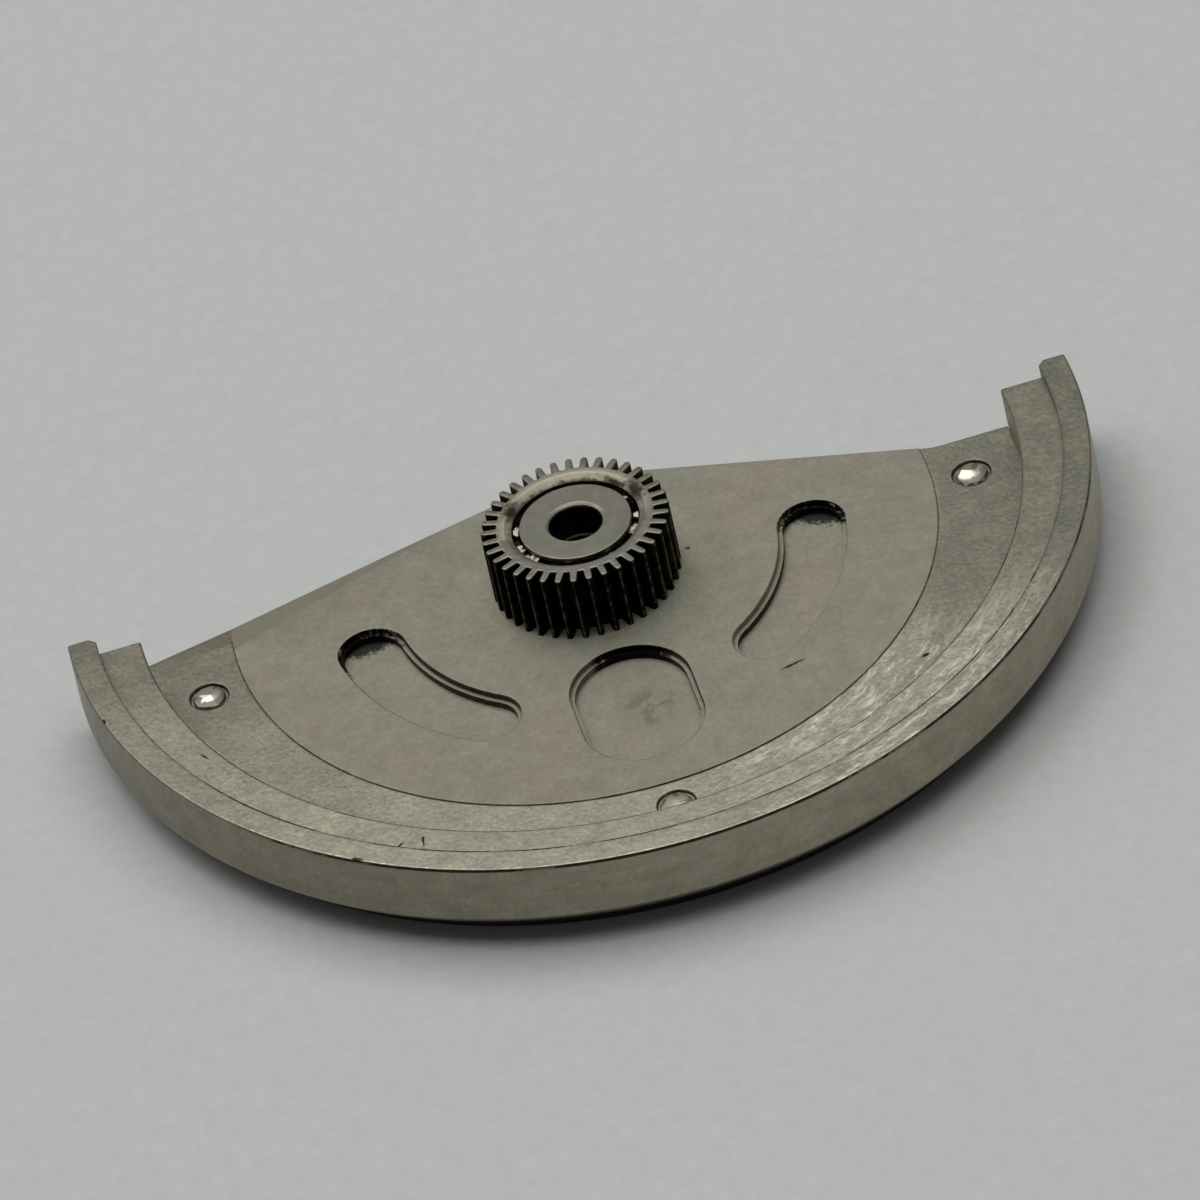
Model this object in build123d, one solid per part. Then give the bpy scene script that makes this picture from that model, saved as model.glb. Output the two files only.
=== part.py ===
from build123d import *
import math
import os

# An automatic watch rotor, taken off its movement and lying with the movement side up.
# All lengths are millimetres. The spin axis is Z, the origin is where that axis meets the
# plane of the ball centres, and the heavy segment lies towards -Y. While the pieces are made,
# heights count up from the case-back face, on which the rotor rests.

# The two plates
face_plate_thickness = 0.50
carrier_plate_thickness = 0.35
hub_radius = 3.95
left_edge_angle = 13.0
right_edge_angle = 18.6
kink_round = 1.2
seam_gap = 0.02

# The filed relief along the left back edge
relief_start = 2.0
relief_width = 0.80
relief_end_width = 0.35
relief_depth = 0.08

# The heavy segment, from the outside in
rim_radius = 13.0
rim_width = 0.72
step_width = 1.08
flange_width = 2.24
flange_rise = 0.43
rim_height = 2.65
step_drop = 0.30
flange_thickness = 0.33
rim_tip_reach = 0.93
step_tip_reach = 0.65
flange_end_reach = 1.05
underside_bevel_height = 1.03
underside_bevel_width = 0.90
edge_break = 0.06

# The slots: two curved ones and a straight one, with a ledge part of the way down their walls
curved_slot_width = 1.72
curved_slot_rise = 0.30
curved_slot_start_angle = 7.6
curved_slot_end_angle = 51.0
curved_slot_place_share = 0.515
straight_slot_width = 3.08
straight_slot_length = 4.40
straight_slot_place_share = 0.436
slot_step_depth = 0.16
slot_ledge = 0.10

# The rivets between flange and face plate
rivet_shank_radius = 0.34
rivet_head_radius = 0.44
rivet_head_height = 0.15
rivet_head_edge = 0.04
rivet_seat_depth = 0.08
rivet_ring_gap = 0.05
rivet_foot_radius = 0.55
rivet_foot_depth = 0.19
side_rivet_inset = 0.96
side_rivet_angle = 1.9
front_rivet_inset = 0.82

# The ball bearing, from the bore out
bore_radius = 0.69
bore_chamfer = 0.06
race_wall = 0.73
race_gap = 0.20
sleeve_wall = 0.26
sleeve_length = 0.20
upper_race_height = 0.38
lower_race_height = 0.73
race_floor_gap = 0.15
race_edge_break = 0.03
ball_count = 8
ball_radius = 0.25
groove_clearance = 0.015
first_ball_angle = 22.5

# The cage between the races
cage_side_clearance = 0.04
cage_base_drop = 0.29
cage_base_height = 0.16
cage_finger_rise = 0.28
cage_pocket_clearance = 0.03
cage_mouth_width = 0.30
cage_finger_thickness = 0.12

# The toothed outer ring and its neck
gear_height = 1.88
ball_plane_drop = 0.45
ring_wall = 0.38
ring_dish_width = 0.18
ring_dish_depth = 0.10
tooth_count = 37
tooth_depth = 0.38
tooth_round = 0.07
tooth_root_share = 0.56
tooth_tip_share = 0.44
neck_wall = 0.13
retaining_lip_width = 0.32
staked_lip_width = 0.20
staked_lip_height = 0.20

# How far cutting shapes run past what they cut
overrun = 1.0

# Heights worked out from the sizes above
plates_top = face_plate_thickness + carrier_plate_thickness
flange_top = face_plate_thickness + flange_thickness
gear_top = plates_top + gear_height
ball_plane = gear_top - ball_plane_drop
race_floor = ball_plane - lower_race_height
shoulder = race_floor - race_floor_gap

# Radii worked out from the sizes above
rim_inner_radius = rim_radius - rim_width
step_inner_radius = rim_inner_radius - step_width
flange_inner_radius = step_inner_radius - flange_width
carrier_radius = flange_inner_radius - seam_gap
face_plate_radius = step_inner_radius - seam_gap
race_radius = bore_radius + race_wall
ring_bore_radius = race_radius + race_gap
ball_circle_radius = race_radius + race_gap / 2
gear_root_radius = ring_bore_radius + ring_wall
gear_tip_radius = gear_root_radius + tooth_depth
neck_radius = ring_bore_radius + neck_wall
lower_bore_radius = ring_bore_radius - retaining_lip_width
staked_radius = neck_radius + staked_lip_width
groove_radius = ball_radius + groove_clearance

left_slope = math.radians(left_edge_angle)
right_slope = math.radians(right_edge_angle)
block_size = 2 * (rim_radius + overrun)


def turned(*points):
    """A solid turned about the spin axis from (radius, height) points."""
    return revolve(Plane.XZ * make_face(Polyline(*points, close=True)), Axis.Z)


def hole(radius, low, high):
    """A round cutter on the spin axis between two heights."""
    return Pos(0, 0, low) * Cylinder(radius, high - low, align=(Align.CENTER, Align.CENTER, Align.MIN))


def left_edge_reach(radius, rise):
    """How far along the left back edge, from the hub, a circle centred on Y meets it."""
    gap = hub_radius - rise * math.cos(left_slope)
    return math.sqrt(radius**2 - gap**2) - rise * math.sin(left_slope)


def left_edge_point(along, inset):
    """A point some way along the left back edge, moved in square to the edge."""
    x = -hub_radius * math.sin(left_slope) - along * math.cos(left_slope) + inset * math.sin(left_slope)
    y = hub_radius * math.cos(left_slope) - along * math.sin(left_slope) - inset * math.cos(left_slope)
    return x, y


def plate_outline():
    """Everything in front of the plates' back edge, far past the rim on the other sides."""
    reach = rim_radius + overrun
    left_end = (-reach, hub_radius / math.cos(left_slope) - reach * math.tan(left_slope))
    left_tangent = (-hub_radius * math.sin(left_slope), hub_radius * math.cos(left_slope))
    right_tangent = (hub_radius * math.sin(right_slope), hub_radius * math.cos(right_slope))
    kink_x = (hub_radius / math.cos(right_slope) - flange_end_reach) / math.tan(right_slope)
    kink = (kink_x, flange_end_reach)
    right_end = (reach, flange_end_reach)
    edges = [
        Line(left_end, left_tangent),
        ThreePointArc(left_tangent, (0, hub_radius), right_tangent),
        Line(right_tangent, kink),
        Line(kink, right_end),
        Line(right_end, (reach, -reach)),
        Line((reach, -reach), (-reach, -reach)),
        Line((-reach, -reach), left_end),
    ]
    outline = make_face(Wire(edges))
    corner = outline.vertices().sort_by_distance((*kink, 0))[0]
    return fillet(corner, kink_round)


def above_plane(first, second, third):
    """A large block above the plane through three points."""
    first, second, third = Vector(first), Vector(second), Vector(third)
    normal = (second - first).cross(third - first)
    if normal.Z < 0:
        normal = -normal
    slope = Plane(origin=first, x_dir=second - first, z_dir=normal)
    return slope * Box(block_size, block_size, block_size, align=(Align.CENTER, Align.CENTER, Align.MIN))


def relief_cutters():
    """The two sloping cuts along the left back edge, over the carrier plate and over the flange."""
    seam_reach = left_edge_reach(carrier_radius, flange_rise)
    end_reach = left_edge_reach(step_inner_radius, 0)
    start = (*left_edge_point(relief_start, 0), plates_top)
    seam = (*left_edge_point(seam_reach, relief_width), plates_top)
    seam_low = (*left_edge_point(seam_reach, 0), plates_top - relief_depth)
    end = (*left_edge_point(end_reach, relief_end_width), plates_top)
    return above_plane(start, seam, seam_low), above_plane(end, seam, seam_low)


def slot_shapes(margin):
    """The three slot outlines, each drawn in by a margin."""
    land = carrier_radius - gear_tip_radius
    curve_radius = gear_tip_radius + curved_slot_place_share * land
    sweep = curved_slot_end_angle - curved_slot_start_angle
    curves = [
        CenterArc((0, curved_slot_rise), curve_radius, -curved_slot_end_angle, sweep),
        CenterArc((0, curved_slot_rise), curve_radius, curved_slot_start_angle - 180, sweep),
    ]
    straight_place = gear_tip_radius + straight_slot_place_share * land
    straight = SlotOverall(straight_slot_length - 2 * margin, straight_slot_width - 2 * margin, rotation=90)
    shapes = [SlotArc(curve, curved_slot_width - 2 * margin) for curve in curves]
    return shapes + [Pos(0, -straight_place) * straight]


def rivet_places():
    """Where the three rivets stand: left, front and right."""
    side_radius = flange_inner_radius + side_rivet_inset
    side_x = side_radius * math.cos(math.radians(side_rivet_angle))
    side_y = -side_radius * math.sin(math.radians(side_rivet_angle))
    front_y = flange_rise - flange_inner_radius - front_rivet_inset
    return [(-side_x, side_y), (0, front_y), (side_x, side_y)]


def rivet():
    """One rivet on the spin axis: countersunk foot, shank and low domed head."""
    seat = flange_top - rivet_seat_depth
    edge_top = seat + rivet_head_edge
    crown = seat + rivet_head_height
    dome = crown - edge_top
    dome_radius = (rivet_head_radius**2 + dome**2) / (2 * dome)
    half = math.asin(rivet_head_radius / dome_radius) / 2
    middle = (dome_radius * math.sin(half), crown - dome_radius * (1 - math.cos(half)))
    profile = [
        Polyline(
            (0, crown),
            (0, 0),
            (rivet_foot_radius, 0),
            (rivet_shank_radius, rivet_foot_depth),
            (rivet_shank_radius, seat),
            (rivet_head_radius, seat),
            (rivet_head_radius, edge_top),
        ),
        ThreePointArc((rivet_head_radius, edge_top), middle, (0, crown)),
    ]
    return revolve(Plane.XZ * make_face(profile), Axis.Z)


def rivet_seat():
    """What a rivet takes out of the flange and the face plate."""
    seat = flange_top - rivet_seat_depth
    ring = hole(rivet_head_radius + rivet_ring_gap, seat, flange_top + overrun)
    foot = turned((0, 0), (rivet_foot_radius, 0), (rivet_shank_radius, rivet_foot_depth), (0, rivet_foot_depth))
    return ring + hole(rivet_shank_radius, 0, seat) + foot


def carrier_plate():
    """The upper plate, with its stepped slots cut right through."""
    sketch = Pos(0, flange_rise) * Circle(carrier_radius) & plate_outline()
    sketch -= Circle(neck_radius)
    for slot in slot_shapes(slot_ledge):
        sketch -= slot
    plate = Pos(0, 0, face_plate_thickness) * extrude(sketch, carrier_plate_thickness)
    for slot in slot_shapes(0):
        plate -= Pos(0, 0, plates_top - slot_step_depth) * extrude(slot, slot_step_depth + overrun)
    return plate - relief_cutters()[0]


def face_plate():
    """The lower plate, the floor of the slots, with the neck staked into it."""
    sketch = Circle(face_plate_radius) & plate_outline()
    plate = extrude(sketch - Circle(neck_radius), face_plate_thickness)
    lip = turned((0, 0), (staked_radius, 0), (neck_radius, staked_lip_height), (0, staked_lip_height))
    plate -= lip
    for x, y in rivet_places():
        plate -= Pos(x, y, 0) * rivet_seat()
    return plate


def in_front_of(reach):
    """A block over everything whose Y is at most a reach."""
    return Pos(0, reach, -overrun) * Box(
        block_size, block_size, block_size, align=(Align.CENTER, Align.MAX, Align.MIN)
    )


def weight_segment():
    """The heavy half ring: rim, step and the thin flange that the rivets hold."""
    step_top = rim_height - step_drop
    bevel_foot = rim_radius - underside_bevel_width
    rim = turned(
        (rim_inner_radius, underside_bevel_height),
        (rim_radius, underside_bevel_height),
        (rim_radius, rim_height - edge_break),
        (rim_radius - edge_break, rim_height),
        (rim_inner_radius + edge_break, rim_height),
        (rim_inner_radius, rim_height - edge_break),
    )
    rim += turned(
        (step_inner_radius, 0),
        (bevel_foot, 0),
        (rim_radius, underside_bevel_height),
        (step_inner_radius, underside_bevel_height),
    )
    rim &= in_front_of(rim_tip_reach)
    rim -= hole(rim_inner_radius, -overrun, rim_height + overrun)
    step = turned(
        (step_inner_radius, 0),
        (bevel_foot, 0),
        (rim_inner_radius, (rim_inner_radius - bevel_foot) * underside_bevel_height / underside_bevel_width),
        (rim_inner_radius, step_top),
        (step_inner_radius + edge_break, step_top),
        (step_inner_radius, step_top - edge_break),
    )
    step &= in_front_of(step_tip_reach)
    seam = Pos(0, flange_rise) * Circle(flange_inner_radius)
    ring = (Circle(step_inner_radius) - seam) & plate_outline()
    flange = Pos(0, 0, face_plate_thickness) * extrude(ring, flange_thickness)
    flange -= relief_cutters()[1]
    for x, y in rivet_places():
        flange -= Pos(x, y, 0) * rivet_seat()
    return rim + step + flange


def weight_rivets():
    """The three rivets, as separate solids."""
    return Compound(children=[Pos(x, y, 0) * rivet() for x, y in rivet_places()])


def gear_outline():
    """The toothed outline: straight flanks and rounded tips, a gap in the middle of the front."""
    pitch = 2 * math.pi / tooth_count
    root_half = tooth_root_share * pitch / 2
    shoulder_radius = gear_tip_radius - tooth_round
    tip_half = tooth_tip_share * pitch / 2

    def at(radius, angle):
        return radius * math.cos(angle), radius * math.sin(angle)

    edges = []
    for tooth in range(tooth_count):
        middle = -math.pi / 2 + (tooth + 0.5) * pitch
        root_out = at(gear_root_radius, middle + root_half)
        next_root = at(gear_root_radius, middle + pitch - root_half)
        left = at(shoulder_radius, middle - tip_half)
        right = at(shoulder_radius, middle + tip_half)
        edges.append(Line(at(gear_root_radius, middle - root_half), left))
        edges.append(ThreePointArc(left, at(gear_tip_radius, middle), right))
        edges.append(Line(right, root_out))
        edges.append(ThreePointArc(root_out, at(gear_root_radius, middle + pitch / 2), next_root))
    return make_face(Wire(edges))


def outer_ring():
    """The bearing's toothed outer ring, with the neck that is staked under the face plate."""
    ring = Pos(0, 0, plates_top) * extrude(gear_outline(), gear_height)
    ring += turned(
        (0, 0),
        (staked_radius, 0),
        (neck_radius, staked_lip_height),
        (neck_radius, plates_top),
        (0, plates_top),
    )
    ring -= hole(lower_bore_radius, -overrun, gear_top)
    ring -= hole(ring_bore_radius, shoulder, gear_top + overrun)
    dish_edge = ring_bore_radius + ring_dish_width
    ring -= turned(
        (0, gear_top - ring_dish_depth),
        (ring_bore_radius, gear_top - ring_dish_depth),
        (dish_edge, gear_top),
        (0, gear_top),
    )
    return ring - ball_groove()


def ball_groove():
    """The ring of space in which the balls run."""
    return Pos(0, 0, ball_plane) * Torus(ball_circle_radius, groove_radius)


def inner_race_upper():
    """The upper half of the inner race: its top is the face that seats on the movement."""
    top = ball_plane + upper_race_height
    sleeve_radius = bore_radius + sleeve_wall
    sleeve_top = ball_plane + sleeve_length
    race = turned(
        (sleeve_radius, ball_plane),
        (race_radius, ball_plane),
        (race_radius, top - race_edge_break),
        (race_radius - race_edge_break, top),
        (bore_radius + bore_chamfer, top),
        (bore_radius, top - bore_chamfer),
        (bore_radius, sleeve_top),
        (sleeve_radius, sleeve_top),
    )
    return race - ball_groove()


def inner_race_lower():
    """The lower half of the inner race, whose sleeve is pressed into the upper half."""
    sleeve_radius = bore_radius + sleeve_wall
    sleeve_top = ball_plane + sleeve_length
    race = turned(
        (bore_radius, race_floor + bore_chamfer),
        (bore_radius + bore_chamfer, race_floor),
        (race_radius - race_edge_break, race_floor),
        (race_radius, race_floor + race_edge_break),
        (race_radius, ball_plane),
        (sleeve_radius, ball_plane),
        (sleeve_radius, sleeve_top),
        (bore_radius, sleeve_top),
    )
    return race - ball_groove()


def ball_angles():
    """The angle of each ball about the spin axis, in degrees."""
    return [first_ball_angle + number * 360 / ball_count for number in range(ball_count)]


def ball_cage():
    """A crown cage: a base ring with a pair of fingers round each ball."""
    outer = ring_bore_radius - cage_side_clearance
    inner = race_radius + cage_side_clearance
    base_top = ball_plane - cage_base_drop
    base = base_top - cage_base_height
    finger_top = ball_plane + cage_finger_rise
    pocket_radius = ball_radius + cage_pocket_clearance
    cage = hole(outer, base, finger_top) - hole(inner, base - overrun, finger_top + overrun)
    finger_edge = math.asin((pocket_radius + cage_finger_thickness) / ball_circle_radius)
    between = 2 * math.pi / ball_count - 2 * finger_edge
    window_width = 2 * ball_circle_radius * math.sin(between / 2)
    from_base = (Align.MIN, Align.CENTER, Align.MIN)
    for angle in ball_angles():
        pocket = Pos(0, 0, ball_plane) * Rot(0, 90, 0) * Cylinder(
            pocket_radius, outer + overrun, align=(Align.CENTER, Align.CENTER, Align.MIN)
        )
        mouth = Pos(0, 0, ball_plane) * Box(outer + overrun, cage_mouth_width, overrun, align=from_base)
        window = Pos(0, 0, base_top) * Box(outer + overrun, window_width, overrun, align=from_base)
        cage -= Rot(0, 0, angle) * (pocket + mouth)
        cage -= Rot(0, 0, angle + 180 / ball_count) * window
    return cage


def balls():
    """The balls, numbered round the bearing."""
    centre = Pos(ball_circle_radius, 0, ball_plane)
    return {
        f"ball_{number + 1}": Rot(0, 0, angle) * centre * Sphere(ball_radius)
        for number, angle in enumerate(ball_angles())
    }


pieces = {
    "carrier_plate": carrier_plate(),
    "face_plate": face_plate(),
    "weight_segment": weight_segment(),
    "weight_rivets": weight_rivets(),
    "outer_ring": outer_ring(),
    "inner_race_upper": inner_race_upper(),
    "inner_race_lower": inner_race_lower(),
    "ball_cage": ball_cage(),
    **balls(),
}

os.makedirs("parts", exist_ok=True)
for name, shape in pieces.items():
    export_step(Pos(0, 0, -ball_plane) * shape, f"parts/{name}.step")
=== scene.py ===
import math
import random

import bmesh
import bpy
from bpy.props import FloatProperty, FloatVectorProperty, IntProperty, PointerProperty
from mathutils import Matrix, Vector


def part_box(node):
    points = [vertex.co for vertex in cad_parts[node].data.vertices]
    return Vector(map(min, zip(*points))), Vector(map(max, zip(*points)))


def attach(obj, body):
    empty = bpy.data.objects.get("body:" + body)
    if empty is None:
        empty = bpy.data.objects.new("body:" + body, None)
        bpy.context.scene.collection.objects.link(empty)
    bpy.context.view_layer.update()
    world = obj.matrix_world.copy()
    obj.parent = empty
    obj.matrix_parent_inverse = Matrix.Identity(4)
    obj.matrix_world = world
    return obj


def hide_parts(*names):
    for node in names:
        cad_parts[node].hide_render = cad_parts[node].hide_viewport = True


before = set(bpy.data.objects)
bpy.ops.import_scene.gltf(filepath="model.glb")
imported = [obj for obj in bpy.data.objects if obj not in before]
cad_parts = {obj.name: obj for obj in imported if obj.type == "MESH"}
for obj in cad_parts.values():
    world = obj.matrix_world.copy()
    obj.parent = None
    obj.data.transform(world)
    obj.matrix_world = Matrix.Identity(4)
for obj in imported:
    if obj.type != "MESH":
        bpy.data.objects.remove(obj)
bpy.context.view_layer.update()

bl_info = {
    "name": "Automatic Watch Rotor",
    "version": (1, 0, 0),
    "blender": (4, 5, 0),
    "location": "View3D > Sidebar > Watch Rotor",
    "description": "Dresses the rotor's CAD frame in finely modelled metal pieces",
    "category": "Mesh",
}

MM = 0.001
# Weighted normals leave faces of less than about a square centimetre alone, so pieces are enlarged for them.
ENLARGED = 10000.0
SEGMENT_LOW, SEGMENT_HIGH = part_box("weight_segment")
CARRIER_LOW, CARRIER_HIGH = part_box("carrier_plate")
FACE_LOW, FACE_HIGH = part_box("face_plate")
RING_LOW, RING_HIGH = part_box("outer_ring")
RACES_TOP, RACES_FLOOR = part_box("inner_race_upper")[1].z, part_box("inner_race_lower")[0].z
# Numbers of steps round the curves.
RIM_STEPS, RACE_STEPS, NECK_STEPS = 360, 144, 96
FRONT_STEPS, SEAM_STEPS, HUB_STEPS, KINK_STEPS, BACK_STEPS = 260, 220, 24, 8, 12
SLOT_SIDE_STEPS, SLOT_END_STEPS, STRAIGHT_END_STEPS = 40, 20, 36
SEAT_STEPS, FOOT_STEPS, ROUND_STEPS, FLAT_ROUND_STEPS = 40, 48, 3, 2
RING_GROOVE_STEPS, RACE_GROOVE_STEPS = 8, 5
# How near two points must be to count as one, for heights, for doubles and for cuts.
TOUCH, MERGE, CUT_SNAP = 0.001 * MM, 0.0002 * MM, 1e-7
# A tooth's curves, as shares of its height below the tip and of its half width, and of the way up its flank.
TIP_CURVE, FLANK_SHARE = ((1.0, 1.0), (0.25, 0.72), (0.0, 0.30)), 0.3
# The lip of the ring's dish, as shares of the edge's rounding and of the dish's depth.
DISH_LIP = ((0.0, 0.03), (1.0, 0.13))
# How unevenly the rivets' heads are hammered, up and across, and the start of the random numbers.
HAMMER_DEPTH, HAMMER_SCATTER, HAMMER_START = 0.5, 0.16, 7
FOOT_ROUND = 0.015 * MM
TIP_CUT_LEAN = 1.2
SENSOR_WIDTH = 36.0
SKY_COLOUR = (0.99, 1.0, 1.0, 1.0)
# Each light: its name, its place and its size.
LIGHTS = (("window", (-0.55, 0.45, 0.85), 1.0), ("softbox", (0.05, 0.10, 1.10), 1.3))
# Each mark: its place, its turn in the plan, and its length, width and height in millimetres.
# Of the plate's marks, the first two are real; the last two are painted shadows on the slot floors at the slot heads.
PLATE_MARKS_AND_POOL_SHADOWS = (
    (3.93, -5.54, -1.45, 14, 0.55, 0.07, 0.2),
    (2.60, -0.05, -1.45, 0, 0.09, 0.09, 0.2),
    (6.00, 0.18, -1.78, -28, 1.3, 0.58, 0.2),
    (-5.77, 0.22, -1.78, 8, 1.2, 0.58, 0.15),
)
# Painted shadows that fill the heads of the three slots.
SLOT_HEAD_SHADOWS = (
    (-6.0, -0.15, -1.7, 20, 1.7, 1.3, 1.5),
    (0.35, -3.25, -1.7, 0, 1.8, 1.3, 1.5),
    (5.9, -0.05, -1.7, -10, 1.6, 1.2, 1.5),
)
# Painted glints on the end walls of two slots.
SLOT_GLINTS = ((-6.55, -0.02, -1.52, 60, 0.30, 0.2, 0.12), (6.43, 0.08, -1.50, -45, 0.22, 0.12, 0.10))
WEIGHT_MARKS = (
    (-8.06, -10.14, 0.34, -38, 0.24, 0.10, 0.16),
    (-12.74, -2.31, 0.37, -80, 0.15, 0.07, 0.12),
    (-10.67, -4.37, 0.07, -60, 0.24, 0.045, 0.2),
    (7.10, -6.61, -1.45, 20, 0.20, 0.09, 0.2),
    (6.10, -8.02, -1.45, 60, 0.12, 0.06, 0.2),
    (-6.95, -9.75, 0.07, 35, 0.36, 0.05, 0.2),
    (-6.35, -9.85, 0.07, 80, 0.30, 0.05, 0.2),
    (-7.33, -4.62, -1.45, -40, 0.26, 0.05, 0.2),
)
DISH_DIRT = (
    (1.70, 0.50, 0.40, 100, 0.62, 0.28, 0.6),
    (1.30, 1.03, 0.37, -52, 0.60, 0.10, 0.5),
    (-1.42, 1.02, 0.40, 60, 0.5, 0.34, 0.6),
)


def length(label, text, millimetres):
    """A length property whose default is given in millimetres."""
    return FloatProperty(name=label, description=text, default=millimetres * MM, unit="LENGTH", precision=5)


def angle(label, text, degrees):
    """An angle property whose default is given in degrees."""
    return FloatProperty(name=label, description=text, default=math.radians(degrees), unit="ROTATION")


def colour(label, text, value):
    """A colour property."""
    return FloatVectorProperty(name=label, description=text, default=value, subtype="COLOR", min=0, max=1)


def amount(label, text, value):
    """A plain number property."""
    return FloatProperty(name=label, description=text, default=value)


class WeightSizes(bpy.types.PropertyGroup):
    rim_width: length("Rim Width", "Width of the highest band, at the outside", 0.72)
    step_width: length("Step Width", "Width of the band inside the rim", 1.08)
    flange_width: length("Flange Width", "Width of the thin riveted band at the sides", 2.24)
    flange_rise: length("Flange Rise", "How far back the seam's centre lies from the spin axis", 0.43)
    step_drop: length("Step Drop", "How far the step lies below the rim", 0.30)
    flange_thickness: length("Flange Thickness", "Thickness of the riveted band", 0.33)
    rim_tip_reach: length("Rim Tip Reach", "How far back the rim's ends reach", 0.93)
    step_tip_reach: length("Step Tip Reach", "How far back the step's ends reach", 0.65)
    bevel_height: length("Underside Bevel Height", "Height of the slope under the rim", 1.03)
    bevel_width: length("Underside Bevel Width", "Width of the slope under the rim", 0.90)
    edge_round: length("Edge Rounding", "Rounding of the heavy edges", 0.06)
    tip_corner: length("Tip Corner", "Size of the small cut on the rim's inner end corners", 0.16)


class PlateSizes(bpy.types.PropertyGroup):
    hub_radius: length("Hub Radius", "Radius of the back of the plates round the hub", 3.95)
    left_slope: angle("Left Slope", "Slope of the left back edge", 13.0)
    right_slope: angle("Right Slope", "Slope of the right back edge", 18.6)
    end_reach: length("Right End Reach", "How far back the plates' right end lies", 1.05)
    kink_round: length("Kink Rounding", "Rounding where the right edge levels out", 1.2)
    seam_gap: length("Seam Gap", "Gap between the carrier plate and the heavy segment", 0.002)
    relief_start: length("Relief Start", "Where the filed relief starts along the left edge", 2.0)
    relief_width: length("Relief Width", "Width of the relief at the seam", 0.80)
    relief_end_width: length("Relief End Width", "Width of the relief at its outer end", 0.35)
    relief_depth: length("Relief Depth", "Depth of the relief at the edge", 0.08)
    curve_radius: length("Curved Slot Radius", "Radius of the curved slots' middle line", 5.758)
    curve_rise: length("Curved Slot Rise", "How far back the curved slots' centre lies", 0.30)
    curve_width: length("Curved Slot Width", "Width of the curved slots", 1.72)
    curve_start: angle("Curved Slot Start", "Where a curved slot starts, from the side", 7.6)
    curve_end: angle("Curved Slot End", "Where a curved slot ends, from the side", 51.0)
    straight_place: length("Straight Slot Place", "Distance of the straight slot's middle from the axis", 5.24)
    straight_width: length("Straight Slot Width", "Width of the straight slot", 3.08)
    straight_length: length("Straight Slot Length", "Length of the straight slot", 4.40)
    slot_step_depth: length("Slot Step Depth", "Depth of the ledge in the slots' walls", 0.16)
    slot_ledge: length("Slot Ledge", "Width of the ledge in the slots' walls", 0.10)
    edge_round: length("Edge Rounding", "Rounding of the plates' edges", 0.03)


class RivetSizes(bpy.types.PropertyGroup):
    side_x: length("Side Rivet X", "Distance of the side rivets across", 9.915)
    side_y: length("Side Rivet Y", "Distance of the side rivets along", -0.329)
    front_y: length("Front Rivet Y", "Distance of the front rivet along", -9.35)
    head_radius: length("Head Radius", "Radius of the peened heads", 0.44)
    ring_gap: length("Ring Gap", "Gap round each head", 0.05)
    head_height: length("Head Height", "Height of the peened heads over their seats", 0.15)
    seat_depth: length("Seat Depth", "Depth of the seats", 0.08)
    foot_radius: length("Foot Radius", "Radius of the countersunk feet", 0.55)
    foot_gap: length("Foot Gap", "Fine line round each foot", 0.015)
    foot_recess: length("Foot Recess", "Depth of the recess round each foot", 0.05)


class BearingSizes(bpy.types.PropertyGroup):
    bore_radius: length("Bore Radius", "Radius of the bore", 0.69)
    bore_chamfer: length("Bore Chamfer", "Chamfer at the bore's ends", 0.06)
    race_radius: length("Race Radius", "Outer radius of the inner races", 1.42)
    sleeve_radius: length("Sleeve Radius", "Outer radius of the lower race's sleeve", 0.95)
    sleeve_length: length("Sleeve Length", "Height of the sleeve over the ball plane", 0.20)
    ring_bore: length("Ring Bore", "Inner radius of the toothed ring", 1.62)
    lower_bore: length("Lower Bore", "Radius of the opening under the races", 1.30)
    shoulder: length("Shoulder", "Depth of the ring's inner floor under the ball plane", 0.88)
    dish_radius: length("Dish Radius", "Outer radius of the dished top", 1.80)
    dish_depth: length("Dish Depth", "Depth of the dished top", 0.10)
    root_radius: length("Root Radius", "Radius at the foot of the teeth", 2.00)
    tip_radius: length("Tip Radius", "Radius at the tip of the teeth", 2.38)
    tooth_round: length("Tooth Rounding", "Height of the rounded tip of a tooth", 0.07)
    tooth_count: IntProperty(name="Tooth Count", description="Number of teeth on the ring", default=37)
    root_share: amount("Root Share", "Share of the pitch that a tooth takes at its foot", 0.56)
    tip_share: amount("Tip Share", "Share of the pitch that a tooth takes at its tip", 0.44)
    neck_radius: length("Neck Radius", "Radius of the neck through the plates", 1.75)
    staked_radius: length("Staked Radius", "Radius of the staked lip under the face plate", 1.95)
    staked_height: length("Staked Height", "Height of the staked lip", 0.20)
    edge_round: length("Edge Rounding", "Rounding of the bearing's edges", 0.03)
    ball_circle: length("Ball Circle", "Radius of the circle of ball centres", 1.52)
    ball_radius: length("Ball Radius", "Radius of a ball", 0.25)
    groove_radius: length("Groove Radius", "Radius of the ball grooves", 0.265)
    ball_count: IntProperty(name="Ball Count", description="Number of balls", default=8)
    first_ball: angle("First Ball", "Angle of the first ball", 22.5)


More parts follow.
